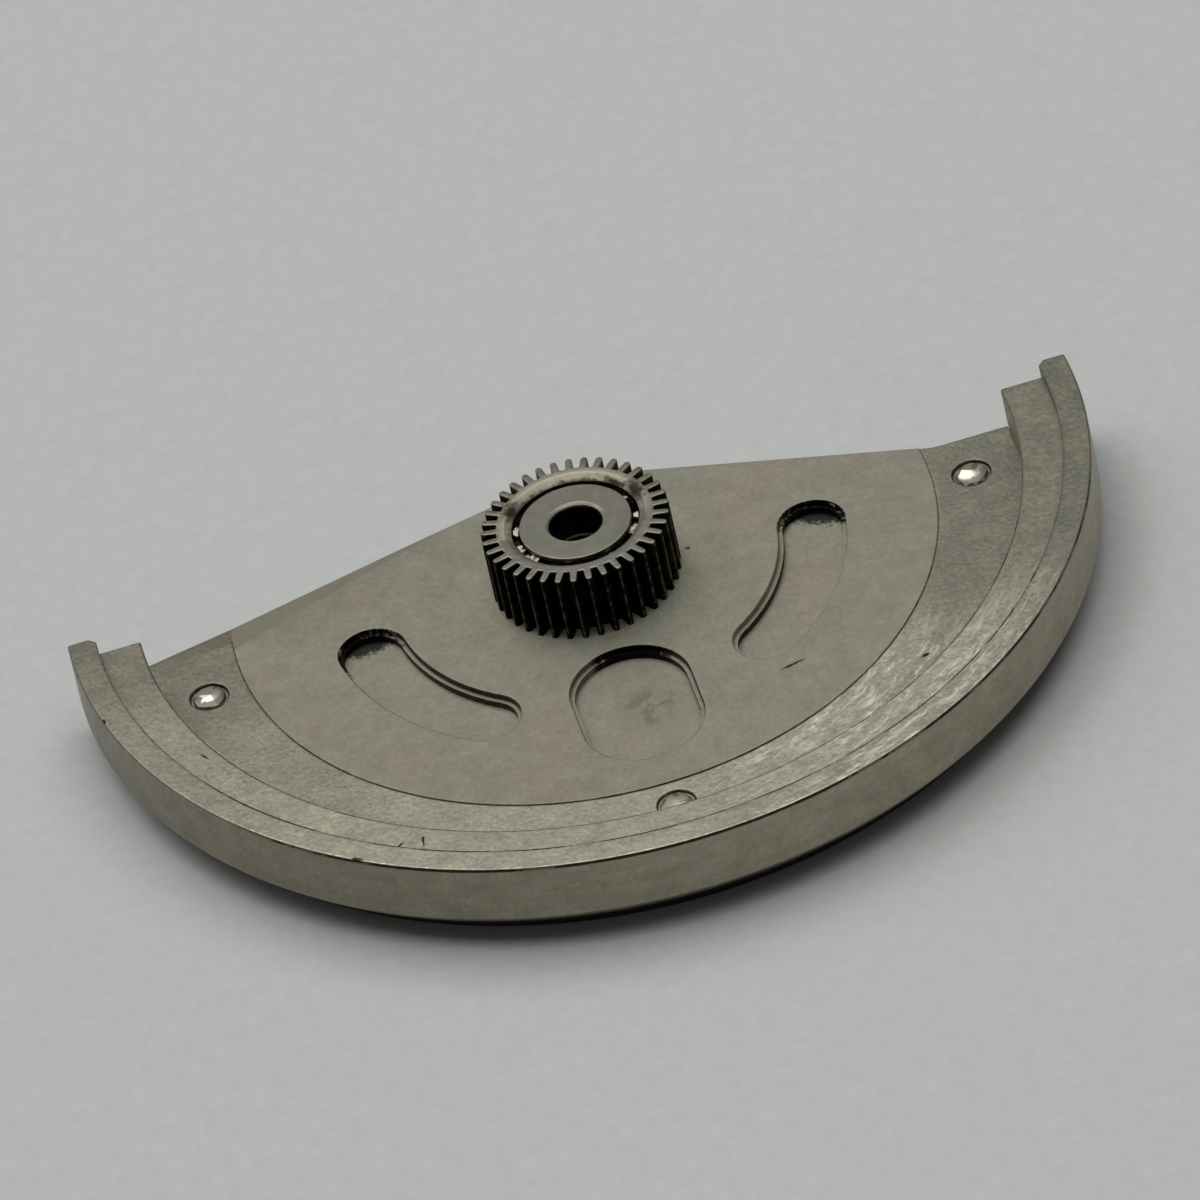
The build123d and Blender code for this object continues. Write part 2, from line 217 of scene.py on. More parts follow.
class Looks(bpy.types.PropertyGroup):
    plate: colour("Plate Metal", "Nickel grey of the two plates", (0.270, 0.264, 0.203))
    weight: colour("Weight Metal", "Grey of the heavy segment", (0.280, 0.270, 0.215))
    wall: colour("Wall Metal", "Darker tone of the rim's outer wall", (0.312, 0.281, 0.217))
    # Also the colour of the painted glints in the slots and of the painted sheen on the heavy segment's streaks.
    fleck: colour("Flecks", "Bright flecks in the heavy metal", (0.66, 0.64, 0.54))
    # This bright colour shows only in the painted highlight on each rivet head.
    rivet: colour("Rivet Metal", "Bright peened metal", (0.76, 0.72, 0.60))
    gear: colour("Gear Steel", "Steel of the toothed ring", (0.268, 0.258, 0.214))
    race: colour("Race Steel", "Steel of the inner races", (0.276, 0.268, 0.216))
    cage: colour("Cage Metal", "Pale brass of the cage", (0.80, 0.75, 0.60))
    bleached: colour("Bleached Oil", "Pale dried oil in the dish", (0.47, 0.44, 0.34))
    # This brown also tints the painted shade on the slot walls.
    dirt: colour("Brown Dirt", "Brown dirt in the dish", (0.085, 0.056, 0.03))
    ball: colour("Ball Steel", "Polished ball steel", (0.16, 0.15, 0.13))
    olive_oil: colour("Olive Oil", "Thin greenish oil on the right of the toothed ring", (0.040, 0.036, 0.018))
    # This colour also serves as painted shade: in the slots, under the rim, in corners, between the gear's teeth,
    # inside the ring, in the bore and on the cage.
    grime_and_shade: colour("Grime", "Dried oil and dirt", (0.005, 0.004, 0.003))
    paper: colour("Paper", "Colour of the paper that the part lies on", (0.530, 0.548, 0.525))


class StageSizes(bpy.types.PropertyGroup):
    floor_size: FloatProperty(name="Floor Size", description="Side of the floor", default=6.0, unit="LENGTH")
    azimuth: angle("Azimuth", "Direction of the camera round the part", -5.5)
    elevation: angle("Elevation", "Height of the camera over the floor", 39.5)
    roll: angle("Roll", "Turn of the camera about its line of sight", -12.87)
    distance: length("Distance", "Distance from the camera to the aiming point", 600.0)
    aim_right: length("Aim Right", "Shift of the camera to its right", 0.620)
    aim_up: length("Aim Up", "Shift of the camera upwards", -1.950)
    lens: FloatProperty(name="Lens", description="Focal length in millimetres", default=724.0)
    window_strength: amount("Window Light", "Power of the light from the left", 3.0)
    softbox_strength: amount("Overhead Light", "Power of the light from above", 10.0)
    sky_strength: amount("Room Light", "Strength of the light from all sides", 0.13)


def sizes(kind):
    """The property group of one kind, from the scene."""
    return getattr(bpy.context.scene, "rotor_" + kind)


def flange_top():
    """Height of the flange's top."""
    return FACE_HIGH.z + sizes("weight").flange_thickness


def step_radius():
    """Radius where the step meets the flange."""
    w = sizes("weight")
    return SEGMENT_HIGH.x - w.rim_width - w.step_width


def seam_radius():
    """Radius of the upper plate's edge along the seam, about the seam's own centre."""
    return step_radius() - sizes("weight").flange_width - sizes("plates").seam_gap


# ---- modelling ----


def deselect():
    """Leaves edit mode and deselects everything."""
    if bpy.context.object and bpy.context.object.mode != "OBJECT":
        leave_edit()
    bpy.ops.object.select_all(action="DESELECT")


def leave_edit():
    """Goes back to object mode."""
    bpy.ops.object.mode_set(mode="OBJECT")


def select_everything():
    """Selects all of the piece being edited."""
    bpy.ops.mesh.select_all(action="SELECT")


def start_piece(name, points):
    """A new piece that starts as one closed loop, left in edit mode with that loop selected."""
    deselect()
    bpy.ops.mesh.primitive_circle_add(vertices=len(points), radius=MM, fill_type="NOTHING")
    thing = bpy.context.object
    for corner, point in zip(thing.data.vertices, points):
        corner.co = point
    thing.name = thing.data.name = name
    bpy.ops.object.mode_set(mode="EDIT")
    select_everything()
    return thing


def more_loops(*loops):
    """More closed loops in the piece being edited, each a circle whose vertices are laid on the points."""
    for points in loops:
        bpy.ops.mesh.select_all(action="DESELECT")
        bpy.ops.mesh.primitive_circle_add(vertices=len(points), radius=MM, fill_type="NOTHING")
        thing = bpy.context.edit_object
        mesh = bmesh.from_edit_mesh(thing.data)
        corners = sorted((v for v in mesh.verts if v.select), key=lambda v: v.index)
        for corner, point in zip(corners, points):
            corner.co = point
        bmesh.update_edit_mesh(thing.data)


def pick(kind, test):
    """Selects the vertices, edges or faces of the piece being edited that pass a test, and nothing else."""
    thing = bpy.context.edit_object
    modes = {"verts": "VERT", "edges": "EDGE", "faces": "FACE"}
    bpy.ops.mesh.select_mode(type=modes[kind])
    bpy.ops.mesh.select_all(action="DESELECT")
    mesh = bmesh.from_edit_mesh(thing.data)
    mesh.normal_update()
    for element in getattr(mesh, kind):
        if test(element):
            element.select_set(True)
    mesh.select_flush_mode()
    bmesh.update_edit_mesh(thing.data)


def pick_open(test=lambda place: True):
    """Selects the open edges whose ends pass a test of their place."""
    pick("edges", lambda e: e.is_boundary and all(test(v.co) for v in e.verts))


def pull(height):
    """Extrudes the selected edges straight up or down."""
    bpy.ops.mesh.extrude_edges_move(TRANSFORM_OT_translate={"value": (0, 0, height)})


def at_height(element, height):
    """Whether all of an edge or a face lies at a height."""
    return all(abs(v.co.z - height) < TOUCH for v in element.verts)


def fill_everything():
    """Fills between all the loops of the piece being edited."""
    select_everything()
    bpy.ops.mesh.fill(use_beauty=True)


def face_outward():
    """Turns all normals of the piece being edited outward."""
    select_everything()
    bpy.ops.mesh.normals_make_consistent(inside=False)


def raise_rounded(height, rounding):
    """Extrudes the selected faces upwards and rounds the upper edges on the way."""
    bpy.ops.mesh.extrude_region_move(TRANSFORM_OT_translate={"value": (0, 0, height - rounding)})
    round_selected(rounding, ROUND_STEPS)


def round_selected(rounding, steps):
    """Rounds the edges round the selected faces by insets that rise along a quarter circle."""
    turns = [step * math.pi / 2 / steps for step in range(steps + 1)]
    for before, after in zip(turns, turns[1:]):
        bpy.ops.mesh.inset(
            thickness=rounding * (math.cos(before) - math.cos(after)),
            depth=rounding * (math.sin(after) - math.sin(before)),
        )
    bpy.ops.mesh.inset(thickness=rounding, depth=0)


def cut(place, normal):
    """Cuts away what lies beyond a plane, of what is selected, and closes the cut."""
    bpy.ops.mesh.bisect(plane_co=place, plane_no=normal, use_fill=True, clear_outer=True, threshold=CUT_SNAP)


def enlarge(thing, factor):
    """Scales a piece and applies the scale."""
    thing.scale = (factor, factor, factor)
    bpy.ops.object.transform_apply(location=False, rotation=False, scale=True)


def finish_piece(thing, body, slot_name, node, smooth=35):
    """Closes a piece: doubles merged, normals outward, smooth shading, its body, slot and finish."""
    material = material_of(slot_name)
    if thing.mode != "EDIT":
        bpy.context.view_layer.objects.active = thing
        bpy.ops.object.mode_set(mode="EDIT")
    select_everything()
    bpy.ops.mesh.remove_doubles(threshold=MERGE)
    face_outward()
    leave_edit()
    deselect()
    thing.select_set(True)
    bpy.context.view_layer.objects.active = thing
    bpy.ops.object.transform_apply(location=True, rotation=True, scale=True)
    bpy.ops.object.shade_smooth_by_angle(angle=math.radians(smooth))
    enlarge(thing, ENLARGED)
    bpy.ops.object.modifier_add(type="WEIGHTED_NORMAL")
    thing.modifiers[-1].keep_sharp = True
    bpy.ops.object.modifier_apply(modifier=thing.modifiers[-1].name)
    enlarge(thing, 1 / ENLARGED)
    thing.data.materials.clear()
    thing.data.materials.append(material)
    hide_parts(node)
    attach(thing, body)


def arc(centre, radius, start, end, height, steps):
    """Points along an arc in the plane, angles in radians."""
    turns = [start + (end - start) * step / steps for step in range(steps + 1)]
    x, y = centre
    return [Vector((x + radius * math.cos(turn), y + radius * math.sin(turn), height)) for turn in turns]


def circle(centre, radius, height, steps):
    """Points round a full circle."""
    return arc(centre, radius, 0, 2 * math.pi, height, steps)[:-1]


def rounded(corners):
    """A closed (radius, height) outline whose corners are given as (radius, height, rounding)."""
    outline = []
    for number, (r, z, rounding) in enumerate(corners):
        here = Vector((r, z))
        if not rounding:
            outline.append(here)
            continue
        to_last = (Vector(corners[number - 1][:2]) - here).normalized()
        to_next = (Vector(corners[(number + 1) % len(corners)][:2]) - here).normalized()
        opening = to_last.angle(to_next)
        reach = rounding / math.tan(opening / 2)
        middle = here + (to_last + to_next).normalized() * (rounding / math.sin(opening / 2))
        first = here + to_last * reach - middle
        last = here + to_next * reach - middle
        swing = first.angle_signed(last)
        for step in range(ROUND_STEPS + 1):
            outline.append(middle + Matrix.Rotation(-swing * step / ROUND_STEPS, 2) @ first)
    return outline


def turned(name, corners, steps):
    """A piece turned about the spin axis, left in edit mode."""
    thing = start_piece(name, [Vector((r, 0, z)) for r, z in rounded(corners)])
    bpy.ops.mesh.spin(steps=steps, angle=2 * math.pi, center=(0, 0, 0), axis=(0, 0, 1))
    select_everything()
    bpy.ops.mesh.remove_doubles(threshold=MERGE)
    bpy.ops.mesh.delete_loose()
    face_outward()
    return thing


def cut_back(reach, rounding):
    """Cuts the piece being edited square across Y at a reach and rounds the new end faces."""
    select_everything()
    cut((0, reach - rounding, 0), (0, 1, 0))
    pick("faces", lambda f: f.normal.y > 0.99 and abs(f.calc_center_median().y - reach + rounding) < TOUCH)
    round_selected(rounding, FLAT_ROUND_STEPS)


def join(name, things):
    """Joins pieces into the first one."""
    deselect()
    for thing in things:
        thing.select_set(True)
    bpy.context.view_layer.objects.active = things[0]
    bpy.ops.object.join()
    things[0].name = things[0].data.name = name
    return things[0]


# ---- outlines of the plates ----


def edge_point(side, along, inset, height):
    """A point on the left (-1) or right (1) back edge, so far from the hub and moved in square to the edge."""
    p = sizes("plates")
    slope = p.left_slope if side < 0 else p.right_slope
    outward = Vector((side * math.cos(slope), -math.sin(slope)))
    backward = Vector((side * math.sin(slope), math.cos(slope)))
    return Vector((*(backward * (p.hub_radius - inset) + outward * along), height))


def edge_meeting(side, radius, rise, inset, height):
    """Where a circle centred on Y meets the left (-1) or right (1) back edge, moved in square to the edge."""
    p = sizes("plates")
    slope = p.left_slope if side < 0 else p.right_slope
    gap = p.hub_radius - rise * math.cos(slope)
    return edge_point(side, math.sqrt(radius**2 - gap**2) - rise * math.sin(slope), inset, height)


def right_end(radius, height):
    """Where a circle about the spin axis meets the level right end."""
    reach = sizes("plates").end_reach
    return Vector((math.sqrt(radius**2 - reach**2), reach, height))


def kink_points(height):
    """The rounded corner where the right back edge levels out, from the outside in."""
    p = sizes("plates")
    kink_x = (p.hub_radius / math.cos(p.right_slope) - p.end_reach) / math.tan(p.right_slope)
    tangent = p.kink_round * math.tan(p.right_slope / 2)
    centre = (kink_x + tangent, p.end_reach + p.kink_round)
    return arc(centre, p.kink_round, -math.pi / 2, -math.pi / 2 - p.right_slope, height, KINK_STEPS)


def front_points(start, end, rise, radius, steps):
    """The arc round the front from a left to a right point, with its centre a little way back."""
    first = math.atan2(start.y - rise, start.x) % (2 * math.pi)
    last = math.atan2(end.y - rise, end.x) + 2 * math.pi
    return arc((0, rise), radius, first, last, start.z, steps)


def back_points(start, end):
    """From a point on the right back edge over the hub's arc to one on the left back edge."""
    p = sizes("plates")
    hub = arc((0, 0), p.hub_radius, math.pi / 2 - p.right_slope, math.pi / 2 + p.left_slope, start.z, HUB_STEPS)
    shares = [step / BACK_STEPS for step in range(1, BACK_STEPS)]
    return [
        start, *(start.lerp(hub[0], share) for share in shares), *hub, *(hub[-1].lerp(end, share) for share in shares)
    ]


def carrier_outline(height):
    """The upper plate's outline, anticlockwise from its right end."""
    rise, radius = sizes("weight").flange_rise, seam_radius()
    start = edge_meeting(1, radius, rise, 0, height)
    end = edge_meeting(-1, radius, rise, 0, height)
    return back_points(start, end) + front_points(end, start, rise, radius, SEAM_STEPS)[:-1]


def face_outline(height, radius):
    """The lower plate's outline, anticlockwise from its right end."""
    start = right_end(radius, height)
    end = edge_meeting(-1, radius, 0, 0, height)
    kink = kink_points(height)
    return [start, *kink[:-1], *back_points(kink[-1], end), *front_points(end, start, 0, radius, FRONT_STEPS)[:-1]]


def flange_outline(height, outer):
    """The flange's outline: out along the right end, round the front, in along the left edge, back on the seam."""
    w = sizes("weight")
    inner, rise = step_radius() - w.flange_width, w.flange_rise
    front = front_points(edge_meeting(-1, outer, 0, 0, height), right_end(outer, height), 0, outer, FRONT_STEPS)
    ends = edge_meeting(-1, inner, rise, 0, height), edge_meeting(1, inner, rise, 0, height)
    return front + kink_points(height) + front_points(*ends, rise, inner, SEAM_STEPS)[::-1]


def slot_loops(margin, height):
    """The three slots, each drawn in by a margin."""
    p = sizes("plates")
    loops = []
    centre = (0, p.curve_rise)
    half = p.curve_width / 2 - margin
    for start, end in ((-p.curve_end, -p.curve_start), (p.curve_start - math.pi, p.curve_end - math.pi)):
        first = (p.curve_radius * math.cos(start), p.curve_rise + p.curve_radius * math.sin(start))
        last = (p.curve_radius * math.cos(end), p.curve_rise + p.curve_radius * math.sin(end))
        loops.append([
            *arc(centre, p.curve_radius + half, start, end, height, SLOT_SIDE_STEPS),
            *arc(last, half, end, end + math.pi, height, SLOT_END_STEPS)[1:-1],
            *arc(centre, p.curve_radius - half, end, start, height, SLOT_SIDE_STEPS),
            *arc(first, half, start + math.pi, start + 2 * math.pi, height, SLOT_END_STEPS)[1:-1],
        ])
    half = p.straight_width / 2 - margin
    run = p.straight_length / 2 - margin - half
    loops.append([
        *arc((0, run - p.straight_place), half, 0, math.pi, height, STRAIGHT_END_STEPS),
        *arc((0, -run - p.straight_place), half, math.pi, 2 * math.pi, height, STRAIGHT_END_STEPS),
    ])
    return loops


def rivet_places():
    """Where the three rivets stand."""
    r = sizes("rivets")
    return [(-r.side_x, r.side_y), (0, r.front_y), (r.side_x, r.side_y)]


def by_rivet(reach):
    """For each rivet, a test of whether a place lies within a reach of it in the plan."""
    return [lambda place, x=x, y=y: math.hypot(place.x - x, place.y - y) < reach for x, y in rivet_places()]


def seam_end(inset, height):
    """Where the seam meets the left back edge, moved in square to that edge."""
    return edge_meeting(-1, seam_radius(), sizes("weight").flange_rise, inset, height)


def relief_cut(third):
    """Cuts the filed relief along the left edge, through the seam and a third point on the top."""
    p = sizes("plates")
    seam, edge = seam_end(p.relief_width, third.z), seam_end(0, third.z - p.relief_depth)
    normal = (seam - third).cross(edge - third).normalized()
    select_everything()
    cut(seam, normal if normal.z > 0 else -normal)


# ---- shader groups ----


def plug(socket, value):
    """Wires a value into a socket, or sets it there."""
    if isinstance(value, bpy.types.NodeSocket):
        value.id_data.links.new(value, socket)
    elif socket.type == "RGBA":
        socket.default_value = (*value[:3], 1)
    else:
        socket.default_value = value


def add(kind, inputs, **settings):
    """Adds a shader node to the tree of its wired inputs, and gives its outputs."""
    tree = next(value.id_data for value in inputs.values() if isinstance(value, bpy.types.NodeSocket))
    made = tree.nodes.new("ShaderNode" + kind)
    for option, value in settings.items():
        setattr(made, option, value)
    for socket, value in inputs.items():
        plug(made.inputs[socket], value)
    return made.outputs


def maths(operation, *values):
    """A Math node's output."""
    return add("Math", dict(enumerate(values)), operation=operation)[0]


def vector_maths(operation, *values):
    """A Vector Math node's outputs."""
    return add("VectorMath", dict(enumerate(values)), operation=operation)


def chain(operation, values):
    """One Math operation over several values, from left to right."""
    result = values[0]
    for value in values[1:]:
        result = maths(operation, result, value)
    return result


def product(*values):
    """Several values multiplied."""
    return chain("MULTIPLY", values)


def total(*values):
    """Several values added."""
    return chain("ADD", values)


def most(*values):
    """The highest of several values."""
    return chain("MAXIMUM", values)


def less(value, taken):
    """A value less another."""
    return maths("SUBTRACT", value, taken)


def ramp(value, low, high, to_low=0.0, to_high=1.0):
    """A value eased from one range to another."""
    ranges = {"Value": value, "From Min": low, "From Max": high, "To Min": to_low, "To Max": to_high}
    return add("MapRange", ranges, interpolation_type="SMOOTHSTEP")["Result"]


def spread(tone, low, high):
    """A texture's tone, spread over a range."""
    return ramp(tone, 0.3, 0.7, low, high)


def level(mask, off, on):
    """One number where a mask is off, easing to another where it is on."""
    return ramp(mask, 0.0, 1.0, off, on)


def mix(mask, first, second):
    """Two colours mixed by a mask."""
    return add("Mix", {"Factor": mask, 6: first, 7: second}, data_type="RGBA")[2]


def dim(tint, factor):
    """A colour multiplied by a factor."""
    return add("VectorMath", {0: tint, "Scale": factor}, operation="SCALE")["Vector"]


def tinted(colour_value, red, green, blue):
    """A colour with each part multiplied."""
    return Vector((colour_value[0] * red, colour_value[1] * green, colour_value[2] * blue))


def noise(place, scale, detail=2.0, roughness=0.5):
    """A cloudy texture."""
    return add("TexNoise", {"Vector": place, "Scale": scale, "Detail": detail, "Roughness": roughness})["Fac"]


def group(name, **inputs):
    """A new shader group, from its inputs' default numbers, or None for a vector; gives them inside."""
    tree = bpy.data.node_groups.new(name, "ShaderNodeTree")
    for label, value in inputs.items():
        kind = "NodeSocketVector" if value is None else "NodeSocketFloat"
        socket = tree.interface.new_socket(label, in_out="INPUT", socket_type=kind)
        if value is not None:
            socket.default_value = value
    return tree.nodes.new("NodeGroupInput").outputs


def give(**outputs):
    """Gives the shader group that some values belong to its outputs."""
    tree = next(iter(outputs.values())).id_data
    for label in outputs:
        tree.interface.new_socket(label, in_out="OUTPUT", socket_type="NodeSocketFloat")
    outside = tree.nodes.new("NodeGroupOutput").inputs
    for label, value in outputs.items():
        plug(outside[label], value)


def use(name, **inputs):
    """Places a shader group and gives its outputs."""
    return add("Group", inputs, node_tree=bpy.data.node_groups[name])


def build_groups():
    """The shader groups that more than one metal uses. All of them count in millimetres."""
    inside = group("Fine Grain", Vector=None, Scale=10.0, Detail=4.0)
    give(
        Tone=noise(inside["Vector"], inside["Scale"], inside["Detail"], 0.6),
        Cloud=noise(inside["Vector"], 0.45, 3.0),
    )

    inside = group("Sintered Flecks", Vector=None, Size=0.1, Density=0.5)
    scale = maths("DIVIDE", 1.0, inside["Size"])
    grains = add("TexVoronoi", {"Vector": inside["Vector"], "Scale": scale, "Randomness": 1.0})
    patches = noise(inside["Vector"], product(scale, 0.35), 5.0, 0.7)
    shine = add("SeparateColor", {"Color": grains["Color"]})["Red"]
    dullest = less(1.0, product(inside["Density"], 0.5))
    give(
        Fleck=product(ramp(shine, dullest, 1.0), ramp(patches, 0.42, 0.62)),
        Pit=ramp(patches, 0.42, 0.30),
        Height=less(patches, product(grains["Distance"], 0.3)),
    )

    inside = group("Brushing", Vector=None, Turn=0.0, Fineness=14.0)
    angles = {"Vector": inside["Vector"], "Angle": inside["Turn"]}
    turned_round = add("VectorRotate", angles, rotation_type="Z_AXIS")[0]
    stretched = vector_maths("MULTIPLY", turned_round, (0.06, 1.0, 1.0))[0]
    rare = noise(stretched, product(inside["Fineness"], 0.45))
    give(Tone=noise(stretched, inside["Fineness"], 3.0, 0.7), Scratch=ramp(rare, 0.66, 0.74))

    inside = group("Turning Marks", Vector=None, Fineness=12.0, Shortness=0.8)
    x, y, z = add("SeparateXYZ", {0: inside["Vector"]})
    radius = vector_maths("LENGTH", add("CombineXYZ", {0: x, 1: y})[0])["Value"]
    turn = maths("ARCTAN2", y, x)
    unrolled = add("CombineXYZ", {0: product(radius, inside["Fineness"]), 1: product(turn, inside["Shortness"])})
    give(Tone=noise(unrolled[0], 1.0, 4.0, 0.7), Radius=radius, Turn=turn, Height=z, Back=y)

    inside = group("Band", Value=0.0, Centre=1.0, Reach=0.1, Softness=1.0)
    near = maths("DIVIDE", maths("ABSOLUTE", less(inside["Value"], inside["Centre"])), inside["Reach"])
    give(Mask=ramp(near, 1.0, less(1.0, inside["Softness"])))

    inside = group("Soiling", Vector=None, Mask=0.5, Size=0.3)
    broken = noise(inside["Vector"], maths("DIVIDE", 1.0, inside["Size"]), 5.0, 0.65)
    give(Mask=ramp(total(inside["Mask"], less(broken, 0.5)), 0.45, 0.75))


def fine_grain(place, scale, detail=4.0):
    """The outputs of the fine grain."""
    return use("Fine Grain", Vector=place, Scale=scale, Detail=detail)


def band(value, centre, reach, softness=1.0):
    """A mask of the values near a centre."""
    return use("Band", Value=value, Centre=centre, Reach=reach, Softness=softness)["Mask"]


def soil(place, mask, size):
    """A mask broken up as dirt is."""
    return use("Soiling", Vector=place, Mask=mask, Size=size)["Mask"]


def relief_side(place, start, end):
    """A mask of what lies behind the line between two points of the plan."""
    along = (end - start).normalized()
    behind = Vector((along.y, -along.x, 0))
    if behind.y < 0:
        behind = -behind
    distance = vector_maths("DOT_PRODUCT", place, behind)["Value"]
    line = behind.dot(start / MM)
    return ramp(distance, line - 0.01, line + 0.03)


def nicks(place, marks, edge=1.3, core=0.9):
    """A mask of small ragged marks."""
    ragged = noise(place, 9.0, 3.0)
    masks = []
    for x, y, z, turn, long, wide, high in marks:
        frame_of_mark = {"Location": (x, y, z), "Rotation": (0, 0, math.radians(turn)), "Scale": (long, wide, high)}
        moved = add("Mapping", {"Vector": place, **frame_of_mark}, vector_type="TEXTURE")[0]
        masks.append(ramp(total(vector_maths("LENGTH", moved)["Value"], ragged), edge, core))
    return most(*masks)


def seam_dirt(place):
    """A mask of the broken dirt line along the seam between the carrier plate and the heavy segment."""
    centred = vector_maths("SUBTRACT", place, (0, sizes("weight").flange_rise / MM, 0))["Vector"]
    line = band(use("Turning Marks", Vector=centred)["Radius"], seam_radius() / MM, 0.05)
    front = ramp(use("Turning Marks", Vector=place)["Back"], -1.5, -3.5)
    thick = ramp(fine_grain(place, 1.1)["Tone"], 0.35, 0.6, 0.5, 1.0)
    return soil(place, product(line, front, thick), 0.2)


# ---- materials: each maker gives its shader's inputs, and its bump's height, strength and distance ----


def plate_metal(place, looks):
    """Satin nickel grey with a faint brushing and slow tints, painted a little lighter round the gear and on the slot
    floors; the slots' walls and heads are painted dark as shade, with painted glints at two slot ends, and the filed
    relief is painted darker as shade.
    """
    p = sizes("plates")
    grain = fine_grain(place, 8.0)
    mottle = fine_grain(place, 1.6)["Tone"]
    brush = use("Brushing", Vector=place, Turn=0.3, Fineness=9.0)
    turning = use("Turning Marks", Vector=place)
    radius, turn, height = turning["Radius"], turning["Turn"], turning["Height"]
    base, dirt = Vector(looks.plate), Vector(looks.dirt)
    tint = mix(ramp(grain["Cloud"], 0.42, 0.62), base, tinted(base, 1.05, 0.975, 0.96))
    stain_middle = (0.3, 0.1 - p.straight_place / MM, FACE_HIGH.z / MM)
    away = vector_maths("DISTANCE", place, stain_middle)["Value"]
    stain = product(ramp(away, 1.2, 0.3), ramp(mottle, 0.38, 0.58), 0.8)
    factor = product(
        spread(grain["Tone"], 0.91, 1.09),
        spread(mottle, 0.93, 1.07),
        # Slot floors painted slightly lighter, against their shade.
        ramp(height, FACE_HIGH.z / MM, CARRIER_HIGH.z / MM, 1.02, 1.0),
        level(stain, 1.0, 0.6),
        # Painted lighter round the gear's foot, against the gear's shade and dark reflection.
        ramp(radius, 3.5, 2.5, 1.0, 1.2),
    )
    lined = mix(product(brush["Scratch"], 0.12), dim(tint, factor), base * 1.4)
    relief = relief_side(place, edge_point(-1, p.relief_start, 0, 0), seam_end(p.relief_width, 0))
    # The filed relief along the left edge is painted darker, as shade.
    filed = mix(product(relief, 0.55), lined, Vector(looks.wall) * 0.7)

    # The slots' walls, their ledges and their heads are painted dark as shade, tinted olive.
    ledge_height = (CARRIER_HIGH.z - p.slot_step_depth) / MM
    upper_half = p.slot_step_depth / 2 / MM
    lower_half = (ledge_height - FACE_HIGH.z / MM) / 2
    upper = band(height, ledge_height + upper_half, upper_half, 0.06)
    lower = band(height, ledge_height - lower_half, lower_half, 0.1)
    ledge = band(height, ledge_height, 0.03, 0.5)
    heads = nicks(place, SLOT_HEAD_SHADOWS)
    # Less painted shade on the right slot's wall, where the light reaches, and in a band toward the front left.
    lit_right_wall = product(ramp(turn, -1.12, -1.0), less(1.0, heads))
    paler_left = level(band(turn, -1.95, 0.22, 0.4), 1.0, 0.45)
    walls = product(most(product(upper, level(lit_right_wall, 1.0, 0.15)), lower), paler_left)
    inside = product(ramp(radius, 8.7, 8.5), ramp(turning["Back"], 1.0, 0.8))
    slot_shade = product(most(walls, product(ledge, heads)), inside)
    olive = mix(ramp(grain["Tone"], 0.40, 0.66), dirt * 0.25, dirt * 0.9)
    # The painted shade's colour, black in the heads, with a painted glint at two slot ends.
    oil = mix(nicks(place, SLOT_GLINTS), mix(heads, olive, looks.grime_and_shade), looks.fleck)
    # Real marks, two painted shadow pools at the slot heads, and the seam's dirt line.
    marked = most(product(nicks(place, PLATE_MARKS_AND_POOL_SHADOWS), 0.9), product(seam_dirt(place), 0.45))
    # The darkest painted shade and marks also get a lower specular level.
    black = most(product(slot_shade, heads), marked)
    return {
        "Metallic": 0.5,
        "Base Color": mix(marked, mix(slot_shade, filed, oil), looks.grime_and_shade),
        "Specular IOR Level": level(black, 0.5, 0.08),
        "Roughness": spread(brush["Tone"], 0.52, 0.56),
    }, (total(product(brush["Tone"], 0.2), product(grain["Tone"], 0.8)), 0.2, 0.01)


def foot_line(turning, radius, edge):
    """A mask of painted shade in the corner at the foot of a step, from its radius and the upper edge's height."""
    return product(band(turning["Radius"], radius + 0.02, 0.085), ramp(turning["Height"], edge - 0.12, edge - 0.06))


